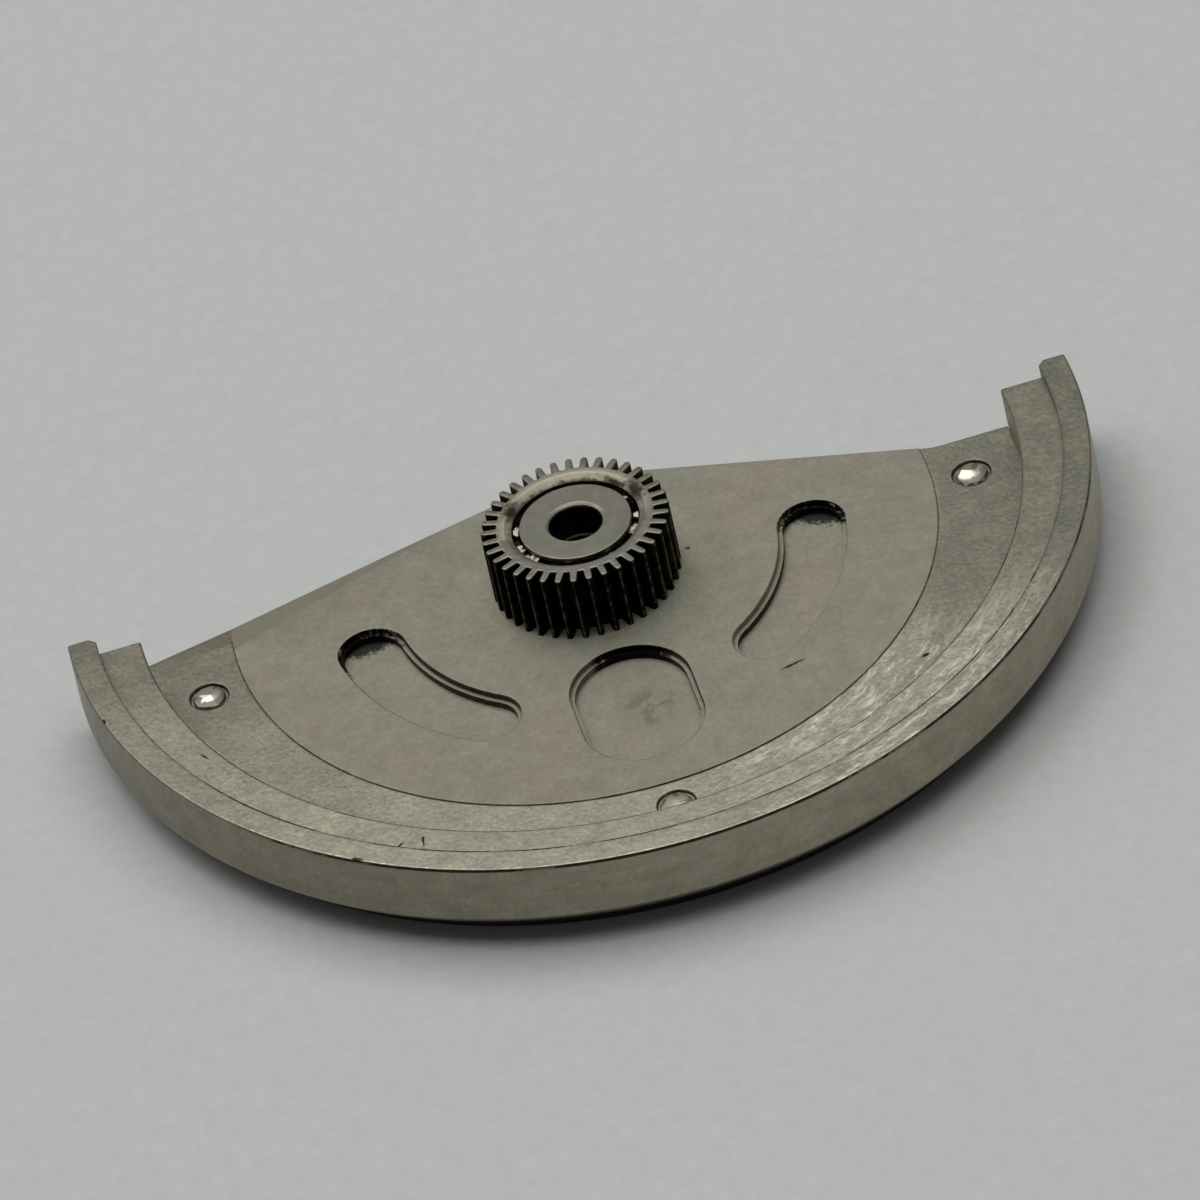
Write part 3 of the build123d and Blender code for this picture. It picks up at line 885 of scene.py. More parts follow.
def weight_metal(place, looks):
    """Sintered heavy metal: grains, flecks and scuffed streaks on top, with painted light and shade: lighter toward
    the front and the left end, a painted sheen on the streaks at the front right, painted shade in the corners, along
    the rim's edge, round the rivet seats, on the filed relief and under the rim; a smoother and browner outer wall,
    painted lighter toward the front right.
    """
    w, p, r = sizes("weight"), sizes("plates"), sizes("rivets")
    grain = fine_grain(place, 9.0)["Tone"]
    mottle = fine_grain(place, 1.6)["Tone"]
    flecks = use("Sintered Flecks", Vector=place, Size=0.14, Density=0.8)
    turning = use("Turning Marks", Vector=place, Fineness=4.0, Shortness=9.0)
    radius, turn, height = turning["Radius"], turning["Turn"], turning["Height"]
    outside = SEGMENT_HIGH.x / MM
    rim_foot = outside - w.rim_width / MM
    step_foot = step_radius() / MM
    flange_height = flange_top() / MM
    base, wall = Vector(looks.weight), Vector(looks.wall)

    tint = mix(ramp(mottle, 0.40, 0.60), tinted(base, 0.985, 1.005, 0.99), tinted(base, 1.025, 0.985, 0.96))
    # Painted light: the top is painted lighter toward the front and darker elsewhere.
    lit = band(turn, -1.5, 1.15, 0.5)
    # Painted light toward the left end, stronger on the step.
    lit_left = band(turn, -2.65, 0.5, 0.7)
    on_step = band(radius, outside - (w.rim_width + w.step_width / 2) / MM, w.step_width / 2 / MM, 0.1)
    # The rim's top on the right is painted darker, as shade.
    on_right_rim = product(ramp(radius, rim_foot - 0.02, rim_foot + 0.02), ramp(turn, -1.8, -1.3))
    # The flange by the step's foot is painted darker where the light falls, as the step's shade.
    by_foot = product(ramp(radius, 9.4, 9.8), ramp(height, flange_height + 0.1, flange_height + 0.02))
    factor = product(
        spread(grain, 0.85, 1.15),
        spread(mottle, 0.90, 1.10),
        level(lit, 0.90, 1.34),
        level(lit_left, 1.0, 1.28),
        level(product(on_step, lit_left), 1.0, 1.12),
        level(on_right_rim, 1.0, 0.88),
        level(product(by_foot, lit), 1.0, 0.84),
    )
    pitted = mix(product(flecks["Pit"], 0.3), dim(tint, factor), base * 0.4)
    swept = add("TexNoise", {"Vector": place, "Scale": 1.3, "Detail": 2.0})["Color"]
    shifted = vector_maths("ADD", place, dim(swept, 0.35))["Vector"]
    scuff = use("Turning Marks", Vector=shifted, Fineness=4.5, Shortness=9.0)["Tone"]
    fine_scuff = use("Turning Marks", Vector=shifted, Fineness=9.0, Shortness=22.0)["Tone"]
    # Scuff-shaped streaks, shown brighter toward the front right as a painted sheen.
    share = total(product(band(turn, -1.02, 0.58, 0.8), 0.9), product(lit, 0.16))
    patchy = product(ramp(scuff, 0.42, 0.62), ramp(fine_scuff, 0.38, 0.64))
    scuffs_and_sheen = mix(product(share, patchy), pitted, Vector(looks.fleck) * 1.12)
    # Real bright flecks, shown stronger where the top is painted lighter.
    bright = mix(product(flecks["Fleck"], level(lit, 0.2, 0.5)), scuffs_and_sheen, looks.fleck)

    unrolled = add("CombineXYZ", {0: product(turn, 6.0), 1: product(height, 3.0)})[0]
    streaks = fine_grain(unrolled, 1.2)["Tone"]
    wall_factor = product(
        spread(grain, 0.92, 1.08),
        spread(mottle, 0.91, 1.08),
        # Painted light on the outer wall: darker toward the left, lighter toward the front right.
        ramp(turn, -2.3, -1.2, 0.87, 1.17),
        spread(streaks, 0.92, 1.08),
    )
    wall_tint = mix(ramp(streaks, 0.42, 0.62), wall, tinted(wall, 1.0, 0.965, 1.03))
    on_wall = ramp(radius, outside - 0.05, outside - 0.01)
    coloured = mix(on_wall, bright, dim(wall_tint, wall_factor))

    # The lines in the corners are painted shade, weaker at the left end and toward the back.
    far_left = most(band(turn, -3.3, 1.0), band(turn, 3.3, 0.8, 0.3))
    kept = product(ramp(turn, -0.1, -0.9, 0.38, 1.05), level(far_left, 1.0, 0.35))
    corner_shade_lines = total(
        foot_line(turning, rim_foot, SEGMENT_HIGH.z / MM),
        foot_line(turning, step_foot, (SEGMENT_HIGH.z - w.step_drop) / MM),
    )
    # Painted shade along the rim's outer top edge at the front and right.
    rim_edge_shade = product(
        ramp(radius, outside - 0.05, outside - 0.015),
        band(height, SEGMENT_HIGH.z / MM - 0.05, 0.08),
        band(turn, -1.35, 1.3, 0.3),
        1.2,
    )
    lines = total(product(corner_shade_lines, kept), rim_edge_shade)
    broken = ramp(fine_grain(place, 0.8)["Tone"], 0.36, 0.56, 0.4, 1.0)
    broken_shade_lines = soil(place, product(lines, broken), 0.25)
    # The painted shade lines, broken up, drawn in the dark colour.
    shade_lined = mix(most(product(broken_shade_lines, 0.9), product(lines, 0.42)), coloured, looks.grime_and_shade)
    relief_end = edge_meeting(-1, step_radius(), 0, p.relief_end_width, 0)
    relief = relief_side(place, relief_end, seam_end(p.relief_width, 0))
    on_flange = product(relief, ramp(radius, step_foot, step_foot - 0.03))
    # The filed relief on the flange is painted darker, as shade.
    filed = mix(product(on_flange, 0.45), shade_lined, wall * 0.9)

    # Painted shade in the gap round each rivet head.
    seat_rings = most(*(
        band(
            vector_maths("DISTANCE", place, (x / MM, y / MM, flange_height))["Value"],
            (r.head_radius + r.ring_gap) / MM,
            0.036,
            0.5,
        )
        for x, y in rivet_places()
    ))
    # The slope under the rim is painted black as shade.
    bevel_top = (SEGMENT_LOW.z + w.bevel_height) / MM
    bevel_foot = outside - w.bevel_width / MM
    under = product(ramp(height, bevel_top - 0.02, bevel_top - 0.45), ramp(radius, bevel_foot - 0.1, bevel_foot))
    marked = most(product(nicks(place, WEIGHT_MARKS), 0.9), product(seam_dirt(place), 0.45))
    # Painted shade round the seats and under the rim, with real marks and the seam's dirt line.
    black = most(product(soil(place, seat_rings, 0.15), 0.7), under, marked)
    return {
        "Base Color": mix(black, filed, looks.grime_and_shade),
        "Roughness": less(level(flecks["Fleck"], 0.50, 0.34), product(on_wall, 0.08)),
    }, (product(flecks["Height"], less(1.0, product(on_wall, 0.7))), 0.5, 0.02)


def rivet_metal(place, looks):
    """Hammered metal, greyish, with a bright painted highlight toward the back of each head."""
    grain = fine_grain(place, 2.6)["Tone"]
    # A painted highlight a little behind the middle of each head, broken up by grain.
    bright = total(*(
        ramp(vector_maths("DISTANCE", place, (x / MM - 0.05, y / MM + 0.12, flange_top() / MM))["Value"], 0.40, 0.28)
        for x, y in rivet_places()
    ))
    rivet_highlight = product(ramp(grain, 0.42, 0.48), bright)
    return {
        "Base Color": mix(rivet_highlight, Vector(looks.weight) * 0.75, looks.rivet),
        "Roughness": level(rivet_highlight, 0.5, 0.36),
    }, (grain, 0.3, 0.02)


def gear_steel(place, looks):
    """Satin steel on top with thin painted highlight lines on the tooth crests, the teeth's sides and the ring's
    inside painted black as dried oil and shade, and brown dirt in the dish.
    """
    b = sizes("bearing")
    turning = use("Turning Marks", Vector=place, Fineness=16.0)
    grain = fine_grain(place, 5.0)["Tone"]
    radius, height, turn = turning["Radius"], turning["Height"], turning["Turn"]
    dirt = Vector(looks.dirt)
    top, above_plates = RING_HIGH.z / MM, CARRIER_HIGH.z / MM
    tip, root, dish, bore = b.tip_radius / MM, b.root_radius / MM, b.dish_radius / MM, b.ring_bore / MM
    steel = dim(looks.gear, product(spread(turning["Tone"], 0.92, 1.08), spread(grain, 0.86, 1.12)))

    tooth_place = maths("FRACT", maths("DIVIDE", total(turn, 2.5 * math.pi), 2 * math.pi / b.tooth_count))
    # A thin painted highlight line along one side of each tooth's crest.
    crest_highlight = product(
        band(tooth_place, 0.46, 0.07, 0.6),
        ramp(radius, tip - 0.05, tip - 0.02),
        ramp(grain, 0.42, 0.58, 0.1, 0.5),
    )
    # The teeth's sides below the top are painted black as dried oil and shade.
    flank_grime_and_shade = product(ramp(height, top - 0.02, top - 0.05), ramp(radius, root - 0.06, root - 0.02), less(1.0, crest_highlight))
    # The ring's inside is painted dark as shade.
    ring_inside_shade = product(
        ramp(height, top - 0.11, top - 0.2),
        ramp(radius, bore + 0.06, bore + 0.02),
        ramp(height, above_plates, above_plates + 0.1),
    )
    dark = most(flank_grime_and_shade, ring_inside_shade)
    oil = mix(ramp(grain, 0.52, 0.66), looks.grime_and_shade, dirt * 0.35)
    olive = mix(product(band(turn, 0.0, 1.3, 0.6), ramp(grain, 0.36, 0.6)), oil, looks.olive_oil)
    flank = mix(dark, steel, olive)

    in_dish = product(band(turn, 1.6, 2.0, 0.3), ramp(height, top - 0.14, top - 0.11))
    ragged = total(radius, spread(grain, -0.05, 0.05))
    bleached = product(in_dish, ramp(ragged, root + 0.06, dish + 0.02), ramp(grain, 0.3, 0.6, 0.85, 1.0))
    pale = mix(bleached, flank, looks.bleached)
    smear = product(in_dish, ramp(ragged, root - 0.02, root + 0.1), ramp(grain, 0.46, 0.62, 0.0, 0.5))
    inner_line = product(in_dish, ramp(ragged, bore + 0.07, bore - 0.02), 0.85)
    brown = most(inner_line, nicks(place, DISH_DIRT, 1.6, 0.7))
    matt = most(dark, brown, ramp(radius, dish + 0.04, dish))
    return {
        "Base Color": mix(product(brown, 0.95), mix(smear, pale, dirt), dirt * 0.5),
        "Roughness": level(matt, 0.42, 0.66),
    }, (total(turning["Tone"], grain), 0.4, 0.01)


def race_steel(place, looks):
    """Turned steel with faint rings; the bore's chamfers are painted brighter as a highlight, and the bore and the
    ball side are painted dark with oil and shade.
    """
    b = sizes("bearing")
    turning = use("Turning Marks", Vector=place, Fineness=22.0)
    grain = fine_grain(place, 3.0)["Tone"]
    mouth = (b.bore_radius + b.bore_chamfer) / MM
    factor = product(
        spread(turning["Tone"], 0.95, 1.05),
        spread(grain, 0.92, 1.06),
        # The bore's chamfers are painted 2.4 times brighter, as a highlight.
        ramp(turning["Radius"], mouth + 0.01, mouth - 0.01, 1.0, 2.4),
    )
    top, floor = RACES_TOP / MM, RACES_FLOOR / MM
    # The bore and the ball side are painted dark, as oil and shade.
    bore_and_gap_shade = band(turning["Height"], (top + floor) / 2, (top - floor) / 2 - 0.09, 0.12)
    oil = mix(ramp(grain, 0.4, 0.6), looks.grime_and_shade, Vector(looks.dirt) * 0.5)
    return {
        "Base Color": mix(bore_and_gap_shade, dim(looks.race, factor), oil),
        "Roughness": spread(turning["Tone"], 0.36, 0.46),
    }, (turning["Tone"], 0.2, 0.008)


def cage_metal(place, looks):
    """Pale stamped brass, painted black with oil and shade but for a few bright finger tips."""
    grain = fine_grain(place, 4.0)["Tone"]
    turn = use("Turning Marks", Vector=place)["Turn"]
    # Only a few finger tips keep the brass colour; the rest is painted black as oil and shade.
    bright = total(*(band(turn, middle, reach, 0.3) for middle, reach in ((-0.3, 0.45), (-2.75, 0.4), (2.95, 0.12))))
    return {
        "Base Color": mix(product(bright, ramp(grain, 0.4, 0.5)), looks.grime_and_shade, looks.cage),
        "Roughness": spread(grain, 0.3, 0.5),
    }, (grain, 0.3, 0.01)


def ball_steel(place, looks):
    """Polished steel with a thin film of oil."""
    grain = fine_grain(place, 5.0)["Tone"]
    base = Vector(looks.ball)
    return {
        "Base Color": mix(ramp(grain, 0.35, 0.65), base * 0.85, base),
        "Roughness": spread(grain, 0.08, 0.18),
    }, None


def paper(place, looks):
    """Pale matt paper with a faint fibre."""
    grain = fine_grain(place, 2.2, 6.0)["Tone"]
    base = Vector(looks.paper)
    return {
        "Metallic": 0.0,
        "Base Color": mix(spread(grain, 0.0, 1.0), base * 0.97, base * 1.03),
        "Roughness": 0.9,
        "Specular IOR Level": 0.1,
    }, (grain, 0.08, 0.03)


MATERIALS = {maker.__name__: maker for maker in (
    plate_metal, weight_metal, rivet_metal, gear_steel, race_steel, cage_metal, ball_steel, paper
)}


def material_of(slot_name):
    """The material of one slot, made the first time it is asked for; its maker works in millimetres."""
    if not bpy.data.node_groups.get("Fine Grain"):
        build_groups()
    title = slot_name.replace("_", " ").title()
    if title in bpy.data.materials:
        return bpy.data.materials[title]
    material = bpy.data.materials.new(title)
    material.use_nodes = True
    nodes = material.node_tree.nodes
    metres = nodes.new("ShaderNodeTexCoord").outputs["Object"]
    place = add("Mapping", {"Vector": metres, "Scale": (1 / MM, 1 / MM, 1 / MM)})["Vector"]
    inputs, bump = MATERIALS[slot_name](place, sizes("looks"))
    if bump:
        height, strength, distance = bump
        inputs["Normal"] = add("Bump", {"Height": height, "Strength": strength, "Distance": distance * MM})["Normal"]
    for socket, value in {"Metallic": 1.0, **inputs}.items():
        plug(nodes["Principled BSDF"].inputs[socket], value)
    return material


# ---- operators ----


class ROTOR_OT_weight_segment(bpy.types.Operator):
    """Models the heavy half ring: rim, step and flange"""

    bl_idname = "rotor.weight_segment"
    bl_label = "Heavy Segment"

    def execute(self, context):
        w, p, r = sizes("weight"), sizes("plates"), sizes("rivets")
        low, top, outer = SEGMENT_LOW.z, SEGMENT_HIGH.z, SEGMENT_HIGH.x
        rim_in, step_in = outer - w.rim_width, step_radius()
        foot = outer - w.bevel_width
        slope = w.bevel_height / w.bevel_width
        step_top = top - w.step_drop
        edge = w.edge_round
        overlap = rim_in + edge

        rim = turned("rim", [
            (rim_in, low + (rim_in - foot) * slope, 0),
            (outer, low + w.bevel_height, edge),
            (outer, top, edge),
            (rim_in, top, edge / 2),
        ], RIM_STEPS)
        cut_back(w.rim_tip_reach, edge / 2)
        for side in (-1, 1):
            pick("verts", lambda v: v.co.y > w.rim_tip_reach - 3 * w.tip_corner and v.co.x * side > 0)
            cut((side * rim_in, w.rim_tip_reach - w.tip_corner, 0), (-side, TIP_CUT_LEAN, 0))
        leave_edit()

        step = turned("step", [
            (step_in, low, 0),
            (foot, low, edge),
            (overlap, low + (overlap - foot) * slope, 0),
            (overlap, step_top - edge, 0),
            (rim_in + edge / 2, step_top, 0),
            (step_in, step_top, edge),
        ], RIM_STEPS)
        cut_back(w.step_tip_reach, edge / 2)
        leave_edit()

        rounding_foot = flange_top() - p.edge_round
        flange = start_piece("flange", flange_outline(FACE_HIGH.z, step_in + edge))
        bpy.ops.mesh.edge_face_add()
        bpy.ops.mesh.extrude_region_move(TRANSFORM_OT_translate={"value": (0, 0, w.flange_thickness - p.edge_round)})
        bpy.ops.mesh.delete(type="ONLY_FACE")
        more_loops(*(circle(place, r.head_radius + r.ring_gap, rounding_foot, SEAT_STEPS) for place in rivet_places()))
        pick("edges", lambda e: at_height(e, rounding_foot))
        bpy.ops.mesh.fill(use_beauty=True)
        pick("faces", lambda f: f.calc_center_median().z > rounding_foot - TOUCH)
        round_selected(p.edge_round, FLAT_ROUND_STEPS)
        for by_seat in by_rivet(r.head_radius + 3 * r.ring_gap):
            pick_open(by_seat)
            pull(p.edge_round - r.seat_depth)
            bpy.ops.mesh.edge_face_add()
        face_outward()
        relief_cut(edge_meeting(-1, step_in, 0, p.relief_end_width, CARRIER_HIGH.z))
        leave_edit()

        finish_piece(join("weight_half_ring", [rim, step, flange]), "rotor", "weight_metal", "weight_segment")
        return {"FINISHED"}


class ROTOR_OT_carrier_plate(bpy.types.Operator):
    """Models the upper plate with its three stepped slots"""

    bl_idname = "rotor.carrier_plate"
    bl_label = "Carrier Plate"

    def execute(self, context):
        p, w, b = sizes("plates"), sizes("weight"), sizes("bearing")
        low, top = CARRIER_LOW.z, CARRIER_HIGH.z
        step = top - p.slot_step_depth
        near, far = b.neck_radius * 1.1, seam_radius() - 2 * w.flange_rise

        def by_slot(place):
            return place.y < p.end_reach and near < place.xy.length < far

        def slot_edge(edge):
            return edge.is_boundary and all(by_slot(v.co) for v in edge.verts)

        plate = start_piece("upper_plate", carrier_outline(step))
        more_loops(circle((0, 0), b.neck_radius, step, NECK_STEPS), *slot_loops(0, step))
        fill_everything()
        raise_rounded(p.slot_step_depth, p.edge_round)
        pick("faces", lambda f: at_height(f, step))
        bpy.ops.mesh.delete(type="ONLY_FACE")
        select_everything()
        bpy.ops.mesh.delete_loose(use_verts=True, use_edges=True, use_faces=False)
        pick("edges", lambda e: e.is_boundary and not slot_edge(e))
        pull(low - step)
        more_loops(*slot_loops(p.slot_ledge, step))
        pick("edges", lambda e: (slot_edge(e) or not e.link_faces) and at_height(e, step))
        bpy.ops.mesh.fill(use_beauty=True)
        pick_open(by_slot)
        pull(low - step)
        pick_open()
        bpy.ops.mesh.fill(use_beauty=True)
        face_outward()
        relief_cut(edge_point(-1, p.relief_start, 0, top))
        finish_piece(plate, "rotor", "plate_metal", "carrier_plate")
        return {"FINISHED"}


class ROTOR_OT_face_plate(bpy.types.Operator):
    """Models the lower plate, the floor of the slots"""

    bl_idname = "rotor.face_plate"
    bl_label = "Face Plate"

    def execute(self, context):
        p, b, r = sizes("plates"), sizes("bearing"), sizes("rivets")
        low, top = FACE_LOW.z, FACE_HIGH.z
        around_hole = b.staked_radius + p.edge_round
        plate = start_piece("lower_plate", face_outline(low, step_radius() - p.seam_gap))
        more_loops(
            circle((0, 0), b.staked_radius, low, NECK_STEPS),
            *(circle(place, r.foot_radius + r.foot_gap, low, FOOT_STEPS) for place in rivet_places()),
        )
        fill_everything()
        bpy.ops.mesh.normals_make_consistent(inside=False)
        for by_foot in by_rivet(r.foot_radius + 3 * r.foot_gap):
            pick_open(by_foot)
            pull(r.foot_recess)
            bpy.ops.mesh.edge_face_add()
        pick_open(lambda place: place.xy.length > around_hole)
        pull(top - low)
        pick_open(lambda place: place.xy.length < around_hole)
        pull(b.staked_height)
        share = b.neck_radius / b.staked_radius
        bpy.ops.transform.resize(value=(share, share, 1), center_override=(0, 0, 0))
        pull(top - low - b.staked_height)
        pick("edges", lambda e: at_height(e, top))
        bpy.ops.mesh.fill(use_beauty=True)
        finish_piece(plate, "rotor", "plate_metal", "face_plate")
        return {"FINISHED"}


class ROTOR_OT_rivets(bpy.types.Operator):
    """Models the three peened rivets"""

    bl_idname = "rotor.rivets"
    bl_label = "Rivets"

    def execute(self, context):
        r = sizes("rivets")
        seat = flange_top() - r.seat_depth
        flat = r.head_height / r.head_radius
        scatter = HAMMER_SCATTER * r.head_radius
        chance = random.Random(HAMMER_START)
        things = []
        for number, (x, y) in enumerate(rivet_places()):
            deselect()
            bpy.ops.mesh.primitive_ico_sphere_add(subdivisions=2, radius=r.head_radius, location=(x, y, seat))
            head = bpy.context.object
            head.name = f"rivet_head_{number}"
            for corner in head.data.vertices:
                share = corner.co.xy.length / r.head_radius
                hammered = 1 - HAMMER_DEPTH * chance.random() * (1 - share)
                corner.co.z = max(corner.co.z * flat * hammered, 0)
                if corner.co.z:
                    corner.co.x += scatter * (chance.random() - 0.5)
                    corner.co.y += scatter * (chance.random() - 0.5)
                if corner.co.xy.length > r.head_radius:
                    corner.co.xy = corner.co.xy.normalized() * r.head_radius
            bpy.ops.object.transform_apply(location=True, rotation=True, scale=True)
            recess_top = FACE_LOW.z + r.foot_recess
            foot = turned(f"rivet_foot_{number}", [
                (0, FACE_LOW.z, 0),
                (r.foot_radius, FACE_LOW.z, FOOT_ROUND),
                (r.foot_radius, recess_top, 0),
                (0, recess_top, 0),
            ], FOOT_STEPS)
            leave_edit()
            foot.location = (x, y, 0)
            things += [head, foot]
        finish_piece(join("rivet_trio", things), "rotor", "rivet_metal", "weight_rivets", smooth=9)
        return {"FINISHED"}


class ROTOR_OT_outer_ring(bpy.types.Operator):
    """Models the toothed outer ring with its neck and staked lip"""

    bl_idname = "rotor.outer_ring"
    bl_label = "Toothed Ring"

    def execute(self, context):
        b = sizes("bearing")
        low, top, edge = CARRIER_HIGH.z, RING_HIGH.z, b.edge_round
        pitch = 2 * math.pi / b.tooth_count
        root_half, tip_half = b.root_share / 2, b.tip_share / 2
        flank_radius = b.root_radius + FLANK_SHARE * (b.tip_radius - b.tooth_round - b.root_radius)
        rows = [
            (b.root_radius, -root_half),
            (flank_radius, FLANK_SHARE * (root_half - tip_half) - root_half),
            *((b.tip_radius - down * b.tooth_round, -wide * tip_half) for down, wide in TIP_CURVE),
        ]
        tooth = rows + [(radius, -share) for radius, share in reversed(rows)] + [(b.root_radius, 0.5)]
        outline = []
        for number in range(b.tooth_count):
            for radius, share in tooth:
                turn = (number + 0.5 + share) * pitch - math.pi / 2
                outline.append(Vector((radius * math.cos(turn), radius * math.sin(turn), low)))
        ring = start_piece("toothed_ring", outline)
        more_loops(circle((0, 0), b.dish_radius, low, 2 * b.tooth_count))
        fill_everything()
        raise_rounded(top - low, edge)
        pick("faces", lambda f: abs(f.normal.z) < 0.99 and f.calc_center_median().xy.length < b.dish_radius + edge)
        bpy.ops.mesh.delete(type="FACE")
        pick("edges", lambda e: e.is_boundary and e.verts[0].co.z > (low + top) / 2)

        dish_bottom = top - b.dish_depth
        groove_half = math.sqrt(b.groove_radius**2 - (b.ring_bore - b.ball_circle) ** 2)
        rises = [groove_half * (1 - 2 * step / RING_GROOVE_STEPS) for step in range(RING_GROOVE_STEPS + 1)]
        stations = [
            *((b.dish_radius - across * edge, top - down * b.dish_depth) for across, down in DISH_LIP),
            (b.ring_bore + edge, dish_bottom),
            (b.ring_bore, dish_bottom - edge),
            *((b.ball_circle + math.sqrt(b.groove_radius**2 - rise**2), rise) for rise in rises),
            (b.ring_bore, -b.shoulder),
            (b.lower_bore, -b.shoulder),
            (b.lower_bore, RING_LOW.z + edge),
            (b.lower_bore + edge, RING_LOW.z),
            (b.staked_radius, RING_LOW.z),
            (b.neck_radius, RING_LOW.z + b.staked_height),
            (b.neck_radius, low),
            (b.dish_radius, low),
        ]
        for radius, height in stations:
            bpy.ops.mesh.extrude_edges_move()
            mesh = bmesh.from_edit_mesh(ring.data)
            for corner in mesh.verts:
                if corner.select:
                    corner.co.xy = corner.co.xy.normalized() * radius
                    corner.co.z = height
            bmesh.update_edit_mesh(ring.data)
        finish_piece(ring, "rotor", "gear_steel", "outer_ring", smooth=30)
        return {"FINISHED"}


class ROTOR_OT_races(bpy.types.Operator):
    """Models the two halves of the inner race"""

    bl_idname = "rotor.races"
    bl_label = "Inner Races"

    def execute(self, context):
        b = sizes("bearing")
        edge = b.edge_round
        top, floor = RACES_TOP, RACES_FLOOR
        mouth = math.sqrt(b.groove_radius**2 - (b.ball_circle - b.race_radius) ** 2)
        rises = [mouth * (1 - step / RACE_GROOVE_STEPS) for step in range(RACE_GROOVE_STEPS + 1)]
        groove = [(b.ball_circle - math.sqrt(b.groove_radius**2 - rise**2), rise, 0) for rise in rises]
        turned("race_upper", [
            (b.sleeve_radius, groove[-1][1], 0),
            *reversed(groove),
            (b.race_radius, top, edge),
            (b.bore_radius + b.bore_chamfer, top, edge / 2),
            (b.bore_radius, top - b.bore_chamfer, edge / 2),
            (b.bore_radius, b.sleeve_length, 0),
            (b.sleeve_radius, b.sleeve_length, 0),
        ], RACE_STEPS)
        finish_piece(bpy.context.object, "bearing_core", "race_steel", "inner_race_upper")
        turned("race_lower", [
            (b.bore_radius, floor + b.bore_chamfer, 0),
            (b.bore_radius + b.bore_chamfer, floor, 0),
            (b.race_radius, floor, edge),
            *((r, -z, 0) for r, z, _ in groove),
            (b.sleeve_radius, groove[-1][1], 0),
            (b.sleeve_radius, b.sleeve_length, 0),
            (b.bore_radius, b.sleeve_length, 0),
        ], RACE_STEPS)
        finish_piece(bpy.context.object, "bearing_core", "race_steel", "inner_race_lower")
        return {"FINISHED"}


class ROTOR_OT_balls(bpy.types.Operator):
    """Models the balls and gives the cage its finish"""

    bl_idname = "rotor.balls"
    bl_label = "Balls and Cage"

    def execute(self, context):
        b = sizes("bearing")
        deselect()
        bpy.ops.mesh.primitive_uv_sphere_add(segments=32, ring_count=20, radius=b.ball_radius, location=(0, 0, 0))
        balls = [bpy.context.object]
        while len(balls) < b.ball_count:
            bpy.ops.object.duplicate()
            balls.append(bpy.context.object)
        for number, ball in enumerate(balls):
            turn = b.first_ball + number * 2 * math.pi / b.ball_count
            ball.location = (b.ball_circle * math.cos(turn), b.ball_circle * math.sin(turn), 0)
            ball.name = ball.data.name = f"steel_ball_{number + 1}"
            finish_piece(ball, f"ball_{number + 1}", "ball_steel", f"ball_{number + 1}", smooth=60)
        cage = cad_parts["ball_cage"]
        cage.data.materials.clear()
        cage.data.materials.append(material_of("cage_metal"))
        return {"FINISHED"}


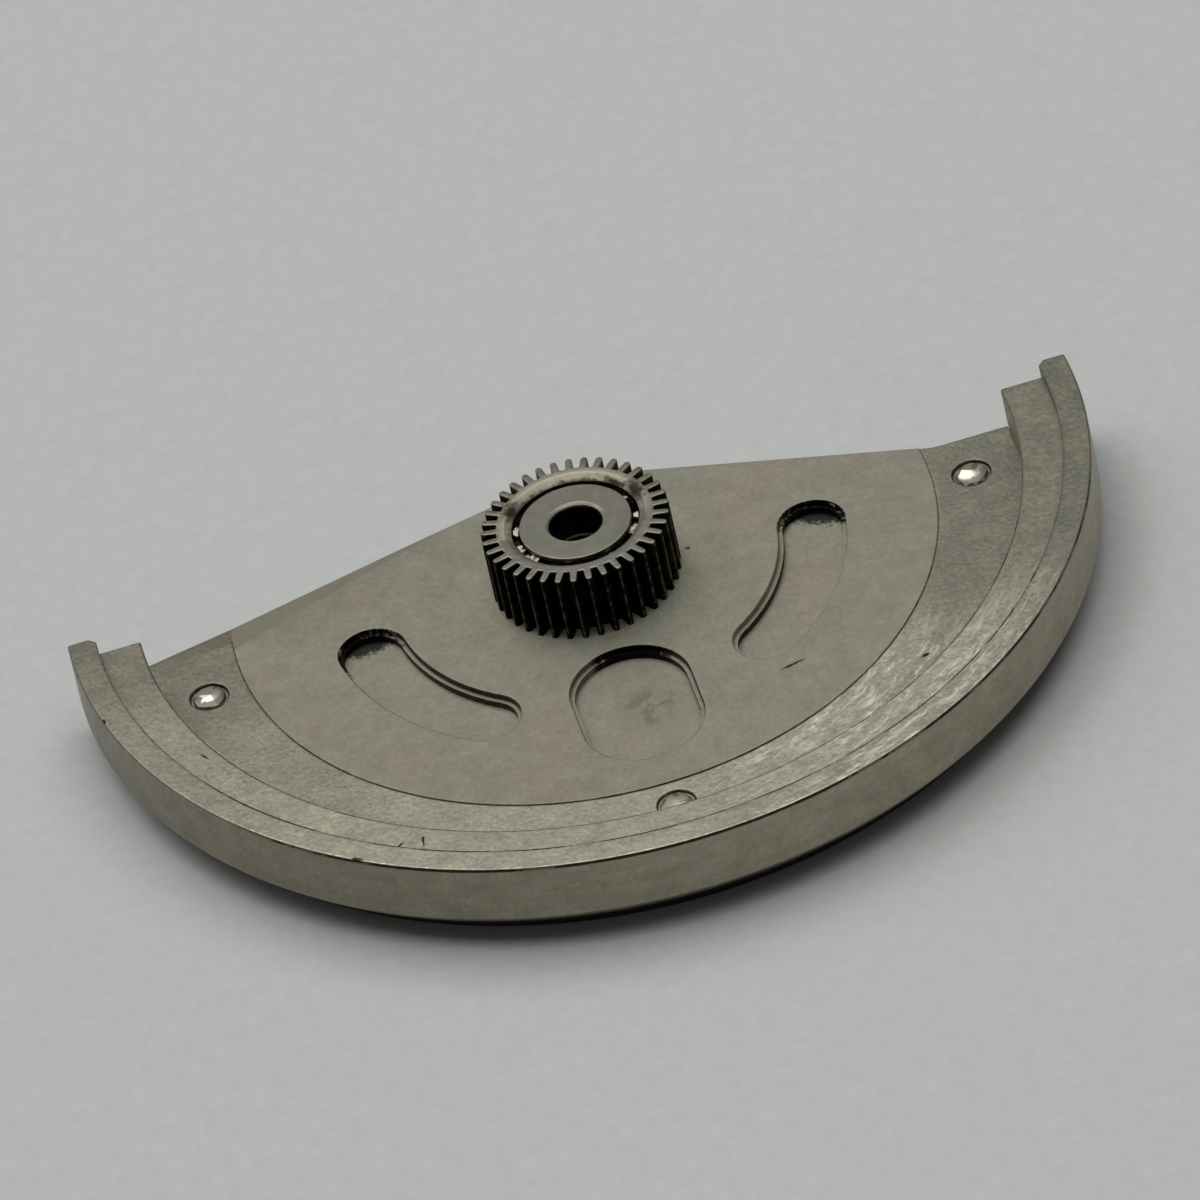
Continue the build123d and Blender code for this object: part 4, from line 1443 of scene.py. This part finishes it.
class ROTOR_OT_stage(bpy.types.Operator):
    """Sets up the paper, the lights and the camera"""

    bl_idname = "rotor.stage"
    bl_label = "Stage"

    def execute(self, context):
        stage = sizes("stage")
        scene = context.scene
        deselect()
        bpy.ops.mesh.primitive_plane_add(size=stage.floor_size, location=(0, 0, SEGMENT_LOW.z))
        floor = context.object
        floor.name = "floor"
        bpy.ops.object.transform_apply(location=True, rotation=True, scale=True)
        floor.data.materials.append(material_of("paper"))

        world = bpy.data.worlds.new("Room")
        world.use_nodes = True
        sky = world.node_tree.nodes["Background"].inputs
        sky["Color"].default_value = SKY_COLOUR
        sky["Strength"].default_value = stage.sky_strength
        scene.world = world
        for (name, place, size), power in zip(LIGHTS, (stage.window_strength, stage.softbox_strength)):
            bpy.ops.object.light_add(type="AREA", location=place)
            lamp = context.object
            lamp.name = name
            lamp.data.size = size
            lamp.data.energy = power
            lamp.rotation_euler = (-Vector(place)).to_track_quat("-Z", "Y").to_euler()

        a, e, r = stage.azimuth, stage.elevation, stage.roll
        back = Vector((math.sin(a) * math.cos(e), -math.cos(a) * math.cos(e), math.sin(e)))
        right = (-back).cross(Vector((0, 0, 1))).normalized()
        above = right.cross(-back)
        across = right * math.cos(r) + above * math.sin(r)
        upward = above * math.cos(r) - right * math.sin(r)
        bpy.ops.object.camera_add()
        camera = context.object
        camera.data.sensor_width = SENSOR_WIDTH
        camera.data.lens = stage.lens
        turn = Matrix((across, upward, back)).transposed().to_4x4()
        aim = Vector((0, 0, SEGMENT_HIGH.z)) + across * stage.aim_right + upward * stage.aim_up
        camera.matrix_world = Matrix.Translation(aim + back * stage.distance) @ turn
        scene.camera = camera
        scene.view_settings.view_transform = "Standard"
        return {"FINISHED"}


class ROTOR_PT_panel(bpy.types.Panel):
    """Lists the rotor's pieces"""

    bl_idname = "ROTOR_PT_panel"
    bl_label = "Watch Rotor"
    bl_space_type = "VIEW_3D"
    bl_region_type = "UI"
    bl_category = "Watch Rotor"

    def draw(self, context):
        for operator in OPERATORS:
            self.layout.operator(operator.bl_idname)


OPERATORS = (
    ROTOR_OT_weight_segment,
    ROTOR_OT_carrier_plate,
    ROTOR_OT_face_plate,
    ROTOR_OT_rivets,
    ROTOR_OT_outer_ring,
    ROTOR_OT_races,
    ROTOR_OT_balls,
    ROTOR_OT_stage,
)
GROUPS = {
    "weight": WeightSizes,
    "plates": PlateSizes,
    "rivets": RivetSizes,
    "bearing": BearingSizes,
    "looks": Looks,
    "stage": StageSizes,
}


def register():
    for kind, group_class in GROUPS.items():
        bpy.utils.register_class(group_class)
        setattr(bpy.types.Scene, "rotor_" + kind, PointerProperty(type=group_class))
    for operator in OPERATORS:
        bpy.utils.register_class(operator)
    bpy.utils.register_class(ROTOR_PT_panel)


def unregister():
    bpy.utils.unregister_class(ROTOR_PT_panel)
    for operator in reversed(OPERATORS):
        bpy.utils.unregister_class(operator)
    for kind, group_class in GROUPS.items():
        delattr(bpy.types.Scene, "rotor_" + kind)
        bpy.utils.unregister_class(group_class)


def main():
    """Builds the whole scene."""
    register()
    bpy.ops.rotor.weight_segment()
    bpy.ops.rotor.carrier_plate()
    bpy.ops.rotor.face_plate()
    bpy.ops.rotor.rivets()
    bpy.ops.rotor.outer_ring()
    bpy.ops.rotor.races()
    bpy.ops.rotor.balls()
    bpy.ops.rotor.stage()


if __name__ == "__main__":
    main()
